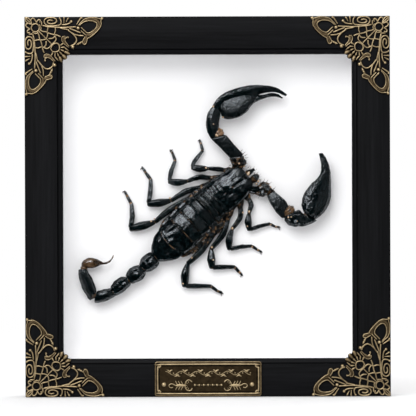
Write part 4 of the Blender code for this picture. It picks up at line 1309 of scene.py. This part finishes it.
TAIL_KEELS = ((58, 0.24, 8, 1.1), (124, 0.30, 8, 1.1), (20, 0.25, 8, 0.9), (162, 0.3, 8, 0.9))
TAIL_PLEATS = {
    0: ((100, 0.45, 34, 2.7), (100, -0.30, 14, 0)),
    2: ((92, -0.25, 14, 0),),
    4: ((64, 0.5, 9, 1.3), (110, 0.3, 9, 1.3), (88, -0.3, 12, 0)),
}
DULL = [0.0, 0.0, 0.0, 0.0, 0.10]  # taken off the paint, which dulls the ring and lets it stain
END_WIDTH, END_THICKNESS = 1.15, 0.82
for k, pairs in enumerate(TAIL):
    last = len(pairs) - 1
    sections = []
    for i, pair in enumerate(np.array(pairs)):
        middle, end = pair.mean(axis=0), i in (0, last)
        a, b = middle + (pair - middle) * (END_WIDTH if end else 1.0)
        sections.append((a, b, TAIL_MIDDLES[k], TAIL_THICKNESS[k] * (END_THICKNESS if end else 1.0)))
    shape = Shape()
    keels = TAIL_KEELS + TAIL_PLEATS.get(k, ())
    rings, paint = limb(sections, 96, 18, 2.05, keels, 0.26, 1.7, 0.05, 60 + k, cap=0.22, grain_size=0.9)
    shape.tube(rings, paint - DULL[k] + (0.25 + 3.4 * DULL[k]) * patches(rings, 1.1, k + 3, -0.1))
    ends = [np.mean([a, b], axis=0) for a, b in (pairs[0], pairs[-1])]
    way = (ends[1] - ends[0]) / np.linalg.norm(ends[1] - ends[0])
    start = np.append(ends[0] - way * 1.6, TAIL_MIDDLES[k])
    width = np.linalg.norm(np.subtract(*pairs[0])) * 0.8
    skin_joint(shape, start, np.append(ends[0] + way * 1.4, TAIL_MIDDLES[k]), width, 4.7, 0.46, k)
    shape.finish(f"tail_ring_{k + 1}", SHELL, "black_cuticle", f"tail_segment_{k + 1}")
print("tail rings:", len(TAIL))

# %% [markdown]
# ### The bulb and its sting
#
# The bulb is a brown drop that runs out into the sting. Its paint rises towards the tip, where the
# real sting is tan, and a painted highlight lies along the top of the bulb's thickest part.

# %% The bulb and its sting
BULB = [  # two edges, height and thickness, from the tail to the sting's tip
    ((-63.6, -32.2), (-66.3, -31.5), 4.6, 3.2), ((-62.5, -32.0), (-65.7, -28.6), 4.6, 4.4),
    ((-60.6, -32.1), (-62.5, -26.7), 4.6, 5.2), ((-58.3, -31.6), (-59.1, -27.0), 4.6, 4.8),
    ((-56.5, -30.6), (-56.3, -28.2), 4.5, 3.0), ((-54.9, -30.3), (-54.9, -29.1), 4.4, 1.6),
    ((-52.8, -29.9), (-53.2, -28.9), 4.2, 1.1), ((-50.9, -28.7), (-51.6, -28.1), 4.0, 0.9),
    ((-49.5, -26.6), (-50.2, -26.4), 3.8, 0.6), ((-49.3, -25.2), (-49.6, -25.2), 3.7, 0.3),
]
shape = Shape()
rings, paint = limb(BULB, 40, 8, 2.0, (), 0.10, 1.2, 0.02, 70, cap=0.5)
share = np.linspace(0, 1, len(rings))[:, None]
sting = 0.41 + 0.05 * np.sin(share * 9) + 0.24 * np.clip((share - 0.72) / 0.28, 0, 1)
# painted highlight: paler paint along the top of the bulb's thickest part
bulb_top_highlight = np.clip(np.sin(np.linspace(0, 2 * math.pi, rings.shape[1])), 0, 1)
shape.tube(rings, sting + 0.14 * bell(share, 0.24, 0.1) * bulb_top_highlight + 0.08 * folds(rings, 1.2, 3))
skin_joint(shape, (-65.3, -34.6, 4.6), (-64.6, -30.6, 4.6), 3.6, 3.8, 0.5, 8)
shape.finish("sting_bulb", SHELL, "brown_cuticle", "telson")
print("sections of the bulb:", len(BULB))

# %% [markdown]
# ## Arms and claws
#
# The arms are drawn by the two edges that a section shows from the front. Ridges of beads run
# along the outer edges, and tan skin shows in the bends. The claws are swollen, granular and end
# in toothed fingers. First come the sections, then how each kind of piece is finished.

# %% Sections of the arms
ARMS = {
    "left_arm_base": [
        ((17.2, 17.8), (13.2, 18.6), 2.6, 3.0), ((18.8, 20.3), (13.1, 20.8), 3.6, 4.2),
        ((19.9, 22.6), (12.3, 22.6), 4.8, 5.0), ((19.3, 26.1), (11.7, 24.6), 5.6, 5.0),
    ],
    "left_arm_femur": [
        ((18.6, 27.3), (11.5, 25.7), 5.8, 5.0), ((14.2, 32.2), (6.9, 30.5), 6.2, 5.6),
        ((10.1, 37.0), (2.3, 34.9), 6.6, 5.2),
    ],
    "left_arm_patella": [
        ((1.7, 35.4), (5.9, 39.5), 6.8, 4.6), ((-0.1, 39.6), (6.0, 41.2), 7.0, 6.0),
        ((-0.7, 43.5), (6.3, 44.5), 7.2, 6.4), ((0.0, 48.2), (6.7, 47.9), 7.4, 6.0),
        ((2.5, 52.0), (6.7, 50.3), 7.6, 4.4),
    ],
    "left_claw": [
        ((2.9, 52.9), (7.0, 50.0), 7.5, 4.0), ((4.6, 55.6), (7.6, 47.2), 7.2, 4.6),
        ((7.2, 58.1), (9.3, 45.9), 7.0, 4.8), ((11.6, 60.5), (13.4, 46.0), 6.9, 5.0),
        ((17.2, 62.3), (18.8, 48.6), 6.9, 5.0), ((22.2, 63.1), (23.1, 53.2), 7.0, 5.0),
        ((25.4, 63.2), (26.0, 57.6), 7.1, 4.6), ((29.0, 63.0), (29.1, 59.1), 7.3, 4.0),
        ((33.4, 62.5), (33.2, 59.7), 7.1, 3.2), ((37.6, 60.9), (36.9, 59.3), 6.8, 2.3),
        ((41.6, 58.5), (41.0, 57.6), 6.4, 1.0),
    ],
    "left_claw_finger": [
        ((21.5, 57.6), (22.6, 52.9), 6.9, 4.2), ((24.6, 58.3), (25.9, 54.8), 7.0, 4.0),
        ((28.7, 58.3), (29.2, 56.2), 6.9, 3.2), ((32.9, 59.2), (33.4, 57.3), 6.8, 2.6),
        ((36.6, 58.8), (36.8, 57.1), 6.6, 2.0), ((39.5, 56.9), (39.1, 56.3), 6.3, 0.8),
    ],
    "right_arm_base": [
        ((21.4, 11.0), (19.7, 8.5), 2.6, 3.0), ((25.6, 10.6), (23.4, 6.6), 3.6, 4.2),
        ((28.9, 12.4), (26.4, 5.8), 4.8, 5.0), ((31.6, 12.0), (28.7, 5.4), 5.4, 5.0),
        ((33.8, 9.1), (30.4, 5.8), 5.6, 4.8),
    ],
    "right_arm_femur": [
        ((34.9, 7.9), (31.2, 5.0), 5.8, 4.8), ((38.0, 5.4), (33.3, 0.7), 6.2, 5.6),
        ((40.9, 2.6), (36.1, -3.4), 6.4, 5.6), ((42.6, -0.6), (38.9, -6.2), 6.6, 4.8),
    ],
    "right_arm_patella": [
        ((43.2, -1.3), (40.4, -7.8), 6.8, 4.8), ((45.0, -2.7), (43.2, -10.2), 7.0, 6.2),
        ((47.9, -2.0), (47.9, -10.6), 7.2, 6.6), ((49.8, -3.7), (52.6, -9.8), 7.3, 5.8),
        ((52.6, -6.2), (57.0, -7.5), 7.4, 3.8),
    ],
    "right_claw": [
        ((51.2, -4.6), (56.0, -7.2), 7.5, 4.2), ((49.6, -1.4), (59.6, -4.6), 7.8, 8.2),
        ((49.2, 1.6), (62.6, -0.6), 7.5, 8.2), ((50.2, 5.9), (64.4, 3.9), 7.3, 7.4),
        ((53.7, 11.1), (64.6, 9.7), 7.4, 6.6), ((57.4, 14.5), (64.4, 14.1), 7.9, 5.4),
        ((59.2, 17.9), (64.2, 18.1), 8.4, 4.3), ((59.4, 21.6), (63.4, 21.8), 8.6, 3.6),
        ((58.9, 24.7), (61.9, 25.2), 8.5, 3.0), ((58.2, 27.3), (60.4, 27.6), 7.6, 1.4),
    ],
    "right_claw_finger": [
        ((58.9, 15.6), (63.5, 15.4), 4.2, 2.2), ((59.6, 18.2), (63.8, 18.3), 4.9, 2.8),
        ((59.7, 21.6), (63.1, 21.9), 5.2, 2.6), ((59.2, 24.6), (61.5, 25.1), 5.4, 2.0),
        ((58.6, 26.9), (59.9, 27.1), 5.8, 0.8),
    ],
}
PALMS = {  # the swollen hand that lies on the flat claw, from the wrist to the fingers
    "left_claw": [
        ((7.2, 53.6), (7.8, 49.2), 8.4, 4.0), ((9.2, 55.6), (9.8, 46.6), 8.4, 5.2),
        ((13.0, 57.6), (14.8, 46.2), 8.3, 5.6), ((17.8, 58.6), (19.6, 48.6), 8.1, 5.4),
        ((22.2, 58.9), (23.2, 52.8), 7.7, 4.8), ((25.8, 58.6), (26.2, 56.2), 7.4, 3.0),
    ],
}
print("sections of the arms:", sum(len(sections) for sections in ARMS.values()))

# %% Finish and joints of the arms
ARM_DETAIL = {  # limb's arguments, for a kind of piece or for one piece
    "arm_base": dict(
        square=2.8, wrinkle=0.7, grain=0.22,
        keels=((50, 0.6, 9, 1.0), (90, 0.3, 9, 1.0), (130, 0.6, 9, 1.0)),
    ),
    "arm_femur": dict(
        square=4.0, wrinkle=0.14, grain=0.08, keels=((40, 0.45, 8, 0.9), (140, 0.45, 8, 0.9)),
    ),
    "left_arm_patella": dict(
        square=2.8, wrinkle=0.18, grain=0.12, lean=-0.24,
        keels=((96, 0.42, 8, 1.05), (48, 0.2, 9, 0.9), (140, 0.3, 9, 1.0)),
    ),
    "right_arm_patella": dict(
        square=2.6, wrinkle=0.26, grain=0.08,
        keels=((62, 0.32, 9, 1.0), (112, 0.32, 9, 1.0), (20, 0.25, 8, 0)),
    ),
    "left_claw": dict(
        around=96, square=4.2, wrinkle=0.10, grain=0.12, lean=-0.16, keels=((154, 0.5, 9, 0.9),),
    ),
    "right_claw": dict(
        around=96, square=2.4, wrinkle=0.08, grain=0.27, lean=-0.12,
        keels=((150, 0.25, 6, 1.1), (118, 0.14, 6, 1.1), (45, 0.2, 6, 1.1)),
    ),
    "claw_finger": dict(square=2.3, wrinkle=0.06, grain=0.12, keels=((90, 0.2, 14, 0.9),)),
}
ARM_STAINS = {  # what is added to the paint, worked out from the rings
    "arm_base": lambda rings: 0.27 + 0.50 * folds(rings, 1.2, 4),
    "arm_femur": lambda rings: 0.3 * patches(rings, 0.9, 8, 0.2) - 0.25,
    "left_arm_patella": lambda rings: 0.6 * patches(rings, 0.9, 8, 0.15),
}
SKINS = {  # start, end, width, height and tone of the joint skin
    "left_arm_femur": [((16.2, 26.0, 5.4), (15.0, 27.6, 5.6), 5.4, 3.6, 0.4)],
    "left_arm_patella": [
        ((7.2, 35.8, 6.6), (4.8, 40.6, 6.8), 5.2, 4.4, 0.66),
        ((6.4, 36.6, 7.6), (3.4, 37.9, 8.0), 1.5, 2.2, 0.98),
    ],
    "left_claw": [((3.8, 50.2, 7.2), (6.8, 52.4, 7.4), 4.0, 3.6, 0.45)],
    "right_arm_femur": [((32.0, 8.2, 5.2), (34.2, 5.6, 5.6), 4.6, 3.6, 0.4)],
    "right_arm_patella": [
        ((41.0, -0.6, 7.0), (44.0, -4.6, 7.4), 6.6, 5.6, 0.58),
        ((40.2, -3.6, 6.2), (42.6, -5.0, 6.4), 4.6, 3.6, 0.4),
    ],
    "right_claw": [((50.2, -4.0, 7.6), (53.6, -6.8, 7.6), 3.0, 3.8, 0.5)],
}
ARM_KNOBS = {  # x, y, h and radius of small pale knobs at the joints
    "left_arm_patella": [(3.1, 52.2, 9.6, 0.6), (3.2, 43.0, 10.4, 0.35)],
    "left_claw": [(8.1, 46.6, 8.6, 0.5)],
    "left_arm_base": [(16.5, 22.5, 7.4, 0.6), (19.2, 20.9, 6.4, 0.4)],
    "right_arm_base": [(26.6, 13.1, 6.6, 0.6), (32.9, 10.0, 7.4, 0.5), (25.6, 11.8, 6.2, 0.5)],
    "right_arm_patella": [(42.2, -5.8, 9.3, 0.6), (43.8, -5.6, 9.8, 0.55), (46.9, -7.8, 10.2, 0.45)],
}
ARM_BRISTLES = {  # root x, y and tip x, y
    "left_arm_base": [
        (19.4, 26.6, 21.0, 27.6), (19.6, 25.4, 21.6, 25.8), (19.4, 24.2, 21.2, 24.4),
        (19.4, 22.8, 21.4, 22.6), (18.8, 21.4, 20.8, 21.0), (18.0, 20.4, 20.0, 19.4),
        (12.6, 21.6, 10.8, 21.0),
    ],
    "left_arm_femur": [(18.6, 27.6, 20.0, 29.0), (17.4, 29.0, 18.6, 30.2)],
    "right_arm_base": [
        (25.8, 10.8, 26.4, 13.2), (27.4, 11.8, 27.6, 14.2), (29.0, 12.6, 29.8, 14.8),
        (30.6, 12.6, 31.8, 14.4), (32.0, 11.8, 33.6, 13.0), (24.6, 6.8, 23.4, 5.2), (27.4, 5.6, 26.6, 3.8),
    ],
    "right_arm_femur": [(34.4, 9.0, 35.6, 10.4)],
}
print("joint skins:", sum(len(skins) for skins in SKINS.values()))

# %% [markdown]
# ### Putting an arm together
#
# Each piece is a limb in its own finish, with its bristles, knobs and joint skin. The upper claw
# lies on its flat side, so its swollen hand is a second limb on top of the flat one. A piece's noise
# starts from the length of its name, which is enough to make neighbours differ.


# %% Putting an arm together
def for_piece(table, name, otherwise):
    """What a table says of this piece, or else of its kind on both sides."""
    kind = name.split("_", 1)[1]
    return table.get(name, table.get(kind, otherwise))


for name, sections in ARMS.items():
    seed = len(name)
    shape = Shape()
    detail = {"around": 72, "steps": 16, "wrinkle_size": 1.7, "cap": 0.3, **for_piece(ARM_DETAIL, name, {})}
    rings, paint = limb(sections, seed=seed, **detail)
    shape.tube(rings, paint + for_piece(ARM_STAINS, name, lambda rings: 0.0)(rings))
    bristles(shape, ARM_BRISTLES.get(name, []), 5.4, 6.0, 0.34, 0.45)
    if name in PALMS:
        keels = ((140, 0.3, 7, 0),)
        rings, paint = limb(PALMS[name], 120, 24, 2.4, keels, 0.06, 1.6, 0.15, 3,
                            cap=0.5, rim=0.0, grain_size=0.6, lean=0.10)
        shape.tube(rings, paint - 0.2)
    for knob in ARM_KNOBS.get(name, []):
        tan_knob(shape, *knob)
    for a, b, width, height, tone in SKINS.get(name, []):
        skin_joint(shape, a, b, width, height, tone, seed)
    shape.finish("dried_" + name, SHELL, "black_cuticle", name)
print("arm pieces:", len(ARMS))

# %% [markdown]
# ## Mouthparts
#
# Two short horned jaws stand in front of the head, tan at their root and dark at their tip, in a
# tuft of bristles. A bristle is a four-sided needle with a slight bow, and each one is mesh. A
# hair system would not survive the export, so each one is mesh.

# %% Mouthparts
MOUTHPARTS = {
    "left_chelicera": [
        ((18.9, 17.6), (20.3, 15.4), 4.0, 2.4), ((21.2, 19.2), (22.6, 16.6), 4.8, 3.2),
        ((24.3, 19.9), (24.7, 18.8), 4.2, 1.2),
    ],
    "right_chelicera": [
        ((21.2, 13.9), (23.0, 12.0), 4.0, 2.4), ((23.7, 16.4), (25.8, 13.0), 4.8, 3.2),
        ((25.9, 17.0), (27.1, 15.4), 4.2, 1.2),
    ],
}
MOUTH_BRISTLES = {
    "left_chelicera": [
        (21.0, 20.0, 22.2, 21.9), (23.0, 19.5, 24.6, 20.6), (22.2, 19.6, 22.6, 21.6),
        (24.4, 18.6, 26.0, 19.8), (23.6, 19.8, 24.8, 21.2), (20.0, 18.4, 20.6, 20.4),
        (23.4, 18.0, 25.4, 18.0), (24.2, 17.4, 26.2, 16.8),
    ],
    "right_chelicera": [
        (26.0, 16.0, 28.2, 17.2), (26.6, 15.2, 28.4, 15.8), (26.4, 14.4, 28.8, 14.2),
        (25.4, 17.0, 26.8, 18.4), (27.0, 14.0, 28.6, 13.2), (24.2, 16.6, 25.0, 18.6),
        (25.0, 13.2, 27.2, 12.4), (24.6, 12.6, 26.0, 11.2),
    ],
}
for name, sections in MOUTHPARTS.items():
    shape = Shape()
    rings, paint = limb(sections, 36, 12, 2.1, (), 0.10, 0.9, 0.04, 5)
    share = np.linspace(0, 1, len(rings))[:, None]
    shape.tube(rings, 0.52 - 0.40 * np.clip((share - 0.30) / 0.35, 0, 1) + 0.28 * folds(rings, 1.1, 2))
    if name == "left_chelicera":
        skin_joint(shape, (20.6, 15.8, 5.6), (21.9, 18.2, 6.0), 1.5, 1.6, 0.98, 4)
    bristles(shape, MOUTH_BRISTLES[name], 4.6, 5.0, 0.28)
    shape.finish("horned_" + name, SHELL, "brown_cuticle", name)
print("bristles:", sum(len(rows) for rows in MOUTH_BRISTLES.values()))

# %% [markdown]
# ## Legs
#
# A walking leg is a chain: thigh, broad knee plate, shin and a slender foot that ends in two
# claws. Nine points give its route, as on the solids, and each link is a rounded segment between
# three of them, with a small bead of tan skin in every joint.

# %% Routes of the legs
ROUTES = {  # from the hip to the tip of the first end claw, x and y on the board
    "left_leg_1": [
        (10.6, 18.6), (6.1, 19.5), (0.8, 19.9), (-3.9, 19.8), (-8.0, 20.5), (-6.6, 24.1), (-2.5, 29.2),
        (-3.5, 33.0), (-4.1, 35.3),
    ],
    "left_leg_2": [
        (4.8, 14.6), (-3.9, 15.4), (-10.2, 13.4), (-15.4, 12.6), (-20.1, 13.2), (-19.1, 18.3),
        (-16.9, 24.0), (-18.4, 28.2), (-19.9, 29.9),
    ],
    "left_leg_3": [
        (-1.6, 10.4), (-11.3, 7.9), (-18.9, 3.2), (-25.4, 1.9), (-31.0, 1.5), (-30.0, 8.0), (-29.8, 14.3),
        (-32.5, 17.9), (-34.6, 21.3),
    ],
    "left_leg_4": [
        (-5.0, 6.6), (-19.2, -1.2), (-27.3, -7.9), (-34.4, -10.1), (-40.4, -11.5), (-39.5, -4.7),
        (-40.0, 1.6), (-42.1, 5.4), (-43.6, 8.5),
    ],
    "right_leg_1": [
        (20.8, 4.9), (22.8, 1.0), (21.7, -3.5), (21.2, -8.2), (21.9, -12.3), (26.5, -10.7), (32.6, -9.2),
        (35.6, -10.8), (38.2, -10.9),
    ],
    "right_leg_2": [
        (17.0, 1.6), (17.0, -5.8), (12.8, -11.8), (11.2, -17.6), (11.4, -22.4), (17.6, -21.2),
        (23.1, -20.8), (26.2, -22.9), (28.8, -24.1),
    ],
    "right_leg_3": [
        (11.2, -3.8), (8.1, -14.2), (1.8, -22.3), (1.8, -27.5), (2.2, -32.0), (8.4, -31.8), (14.1, -31.8),
        (16.4, -34.4), (18.5, -36.4),
    ],
    "right_leg_4": [
        (5.2, -11.4), (-3.2, -23.0), (-10.4, -29.8), (-11.9, -35.9), (-12.0, -41.6), (-5.6, -41.7),
        (1.6, -41.8), (5.1, -44.4), (8.2, -45.7),
    ],
}
SECOND_CLAWS = {  # the tip of the second end claw
    "left_leg_1": (-5.1, 34.2),
    "left_leg_2": (-18.2, 30.1),
    "left_leg_3": (-35.2, 19.4),
    "left_leg_4": (-44.9, 7.6),
    "right_leg_1": (37.9, -12.6),
    "right_leg_2": (28.1, -25.5),
    "right_leg_3": (17.2, -37.3),
    "right_leg_4": (7.1, -47.1),
}
print("legs:", len(ROUTES))

# %% [markdown]
# ### Links of a leg
#
# A place on a route is a number: 2.1 is a tenth of the way from its third point to its fourth. So one
# table holds the links for all eight legs, and only the size differs from pair to pair.

# %% Links of a leg
LEG_SIZES = {"1": 0.86, "2": 0.88, "3": 1.0, "4": 1.06}  # by the last letter of the name
LEG_RIDGES = ((62, 0.16, 15, 1.4), (118, 0.18, 15, 1.4))
HIP = (-0.35, 0, 0.35), (2.6, 2.9, 3.0), (4.2, 4.0, 2.6)  # places, heights and widths
HIP_RIDGES = ((90, 0.5, 12, 0),)
LINKS = [  # places, heights and widths, ridges, brown stains: thigh, knee plate, shin, ankle, toe
    ((0, 1, 2), (2.5, 2.9, 3.3), (2.3, 3.2, 2.3), LEG_RIDGES, 0.35),
    ((2.1, 3, 4), (3.3, 3.6, 3.2), (2.3, 4.3, 2.9), LEG_RIDGES, 0.0),
    ((4.15, 5, 6), (3.2, 2.7, 2.0), (2.4, 2.6, 1.9), LEG_RIDGES, 0.0),
    ((6.08, 6.5, 7), (2.0, 1.7, 1.4), (1.7, 1.7, 1.4), (), 0.0),
    ((7.05, 7.45, 7.75), (1.35, 1.2, 1.0), (1.4, 1.4, 1.0), (), 0.0),
]
TOE_PLACE, END_PLACE = 7.75, 8
LEG_JOINTS = [  # point of the route, height, width and tone of the skin
    (2, 3.45, 1.7, 0.72), (4, 3.35, 2.2, 0.5), (6, 2.15, 1.5, 0.72), (7, 1.55, 1.2, 0.66),
]


def on_route(route, places):
    """Points on a route of straight stretches, at places counted in its points."""
    route, places = np.asarray(route), np.atleast_1d(places)
    first = np.clip(np.floor(places).astype(int), 0, len(route) - 2)
    return route[first] + (route[first + 1] - route[first]) * (places - first)[:, None]


def link(points, heights, widths, size, keels, seed):
    """A leg segment through the points: at each one a section square to the route."""
    path = smooth_rows(np.column_stack([points, heights, widths]), 2)
    way = np.gradient(path[:, :2], axis=0)
    way /= np.linalg.norm(way, axis=1)[:, None]
    half = np.stack([-way[:, 1], way[:, 0]], axis=1) * path[:, 3:] * size / 2
    sections = [(p[:2] - q, p[:2] + q, p[2], 0.85 * p[3] * size) for p, q in zip(path, half)]
    rings, paint = limb(sections, 56, 6, 2.1, keels, 0.12, 1.4, 0.03, seed, cap=0.5, rim=0.5)
    border = np.abs(np.cos(circle_angles(rings.shape[1]))) ** 5
    stains = 0.6 * patches(rings, 1.1, seed + 3, 0.16) + 0.5 * border * patches(rings, 1.0, seed + 5, 0)
    return rings, paint + stains


print("links of a leg:", len(LINKS) + 1)

# %% [markdown]
# ### Putting a leg together
#
# A rough brown hip, five links, pleated skin in four joints, a few pale knobs, and the two end claws.

# %% Putting a leg together
LEG_KNOBS = {  # x, y, h and radius
    "left_leg_1": [(-0.8, 20.2, 4.9, 0.5)],
    "left_leg_3": [(-19.7, 4.5, 4.9, 0.55)],
    "left_leg_4": [(-29.6, -7.6, 5.0, 0.55), (-27.9, -6.4, 5.0, 0.4)],
    "right_leg_1": [(21.7, -2.7, 4.9, 0.6), (20.8, -10.4, 5.3, 0.4)],
    "right_leg_2": [(12.9, -11.4, 5.0, 0.6), (18.5, -3.2, 4.4, 0.5)],
    "right_leg_3": [(2.1, -21.3, 5.0, 0.6), (2.9, -28.0, 5.4, 0.4)],
    "right_leg_4": [(-8.4, -26.8, 4.9, 0.5), (-12.9, -40.3, 4.7, 0.45)],
}


def end_claw(shape, root, tip):
    """A thin hook that bends aside on its way and sinks to the board."""
    bend = (root + tip) / 2 + (tip - root)[::-1] * (0.15, -0.15)
    rings, proud = stroke([root, bend, tip], [0.7, 0.5, 0.16], 0.0, 0.3, 8, 4)
    rings[..., 2] += np.linspace(1.0, 0.5, len(rings))[:, None]
    shape.tube(rings, 0.42)


for seed, (name, route) in enumerate(ROUTES.items()):
    size = LEG_SIZES[name[-1]]
    shape = Shape()
    places, heights, widths = HIP
    rings, paint = link(on_route(route, places), heights, widths, 1.0, HIP_RIDGES, seed + 50)
    rings = rings + (0.35 * folds(rings, 1.1, seed + 2))[..., None] * (0.3, 0.3, 1.0)
    shape.tube(rings, 0.34 + 0.65 * folds(rings, 1.1, seed))
    for knob in LEG_KNOBS.get(name, []):
        tan_knob(shape, *knob, knob_top_highlight=0.25)
    for k, (places, heights, widths, ridges, brown) in enumerate(LINKS):
        rings, paint = link(on_route(route, places), heights, widths, size, ridges, seed + 9 * k)
        shape.tube(rings, paint + brown * patches(rings, 0.9, seed + 1, 0.05))
    for at, h, wide, tone in LEG_JOINTS:
        before, here, after = np.array(route[at - 1 : at + 2])
        a = here + (before - here) / np.linalg.norm(before - here) * 0.7
        b = here + (after - here) / np.linalg.norm(after - here) * 0.9
        skin_joint(shape, (*a, h), (*b, h), wide * size, wide * size * 0.9, tone, seed + at)
    root, end = on_route(route, (TOE_PLACE, END_PLACE))
    for tip in (end, np.array(SECOND_CLAWS[name])):
        end_claw(shape, root, tip)
    shape.finish("dried_" + name, SHELL, "black_cuticle", name)
print("pale knobs:", sum(len(knobs) for knobs in LEG_KNOBS.values()))

# %% [markdown]
# ## Floor
#
# The case stands on a white sweep. The floor is a round sheet that fades out into a white world, so
# that the picture has no horizon. Only the camera sees it, so that the shell's blacks stay black.

# %% Floor
FLOOR_RADIUS = 1.2
FLOOR_Z = -0.2 * MM


def floor():
    angle = circle_angles(64)
    ring = [FLOOR_RADIUS * np.cos(angle), FLOOR_RADIUS * np.sin(angle), np.full(64, FLOOR_Z)]
    mesh = bpy.data.meshes.new("floor")
    mesh.from_pydata(np.stack(ring, axis=1).tolist(), [], [list(range(64))])
    finish = Finish("pale_floor")
    where = finish.place()
    distance = finish.node("ShaderNodeVectorMath", {"operation": "LENGTH"}, {0: where}, output=1)
    fade = finish.spread(distance, 0.25, 1.1)
    finish.shade(Base_Color=(0.78, 0.78, 0.78, 1), Roughness=0.9)
    finish.shade(Emission_Color=(1, 1, 1, 1), Emission_Strength=0.16)
    seen = finish.node("ShaderNodeLightPath", output=0)
    clear = finish.node("ShaderNodeBsdfTransparent")
    finish.blend(seen * (1 - fade), clear, finish.main)
    mesh.materials.append(finish.material)
    obj = bpy.data.objects.new("floor", mesh)
    bpy.context.scene.collection.objects.link(obj)
    obj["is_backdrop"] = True


floor()
print("floor of", 2 * FLOOR_RADIUS, "m")

# %% [markdown]
# ## Light
#
# One large soft lamp above and to the left gives the shade below the top rail, the soft shadows to
# the lower right, and the blue-grey mirror images on the shell. Its image has no hard border in the
# photograph, so it is three lamps of different sizes, nested one before the other: their edges add
# up to a soft one. A weak lamp on the right fills in, and one behind lights the back for other views.
# The white world lights the card, and it isn't mirrored.


# %% Light
def lamp(name, direction, distance, size, radiance):
    """A square lamp that looks at the case's middle. Its power is radiance x pi x area."""
    data = bpy.data.lights.new(name, "AREA")
    data.shape = "SQUARE"
    data.size = size
    data.energy = radiance * math.pi * size**2
    obj = bpy.data.objects.new(name, data)
    way = np.array(direction, float) / np.linalg.norm(direction)
    obj.location = way * distance + (0, 0, CENTRE_Z * MM)
    obj.rotation_mode = "QUATERNION"
    obj.rotation_quaternion = Vector(way).to_track_quat("Z", "Y")
    bpy.context.scene.collection.objects.link(obj)


KEY_DIRECTION = (-0.25, -0.80, 0.54)
for size, radiance in ((1.25, 0.7), (0.9, 2.5), (0.55, 2.2)):
    lamp(f"key_lamp_{size}", KEY_DIRECTION, 1.3 - 0.01 / size, size, radiance)
lamp("fill_lamp", (0.8, -0.9, 0.0), 1.8, 1.5, 0.22)
lamp("back_lamp", (0.3, 1.0, 0.7), 1.5, 1.0, 3.0)

world = bpy.data.worlds.new("white_world")
sky = Network(world, "Background", "World Output")
sky.feed(sky.shader, {"Color": (0.985, 0.985, 1.0, 1), "Strength": 0.79})
seen = sky.node("ShaderNodeLightPath", output=0)
backdrop = sky.node("ShaderNodeBackground", {}, {"Color": (1, 1, 1, 1), "Strength": 1.0})
sky.blend(seen, sky.main, backdrop)
world.cycles_visibility.glossy = False
bpy.context.scene.world = world
bpy.context.scene.view_settings.view_transform = "Standard"
bpy.context.scene.view_settings.look = "None"

# %% [markdown]
# ## The dressed model's box
#
# The box round every shown piece but the floor is worked out from their bounds. The dressed
# model has to stay inside the solids' box.

# %% The dressed model's box
low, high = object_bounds()
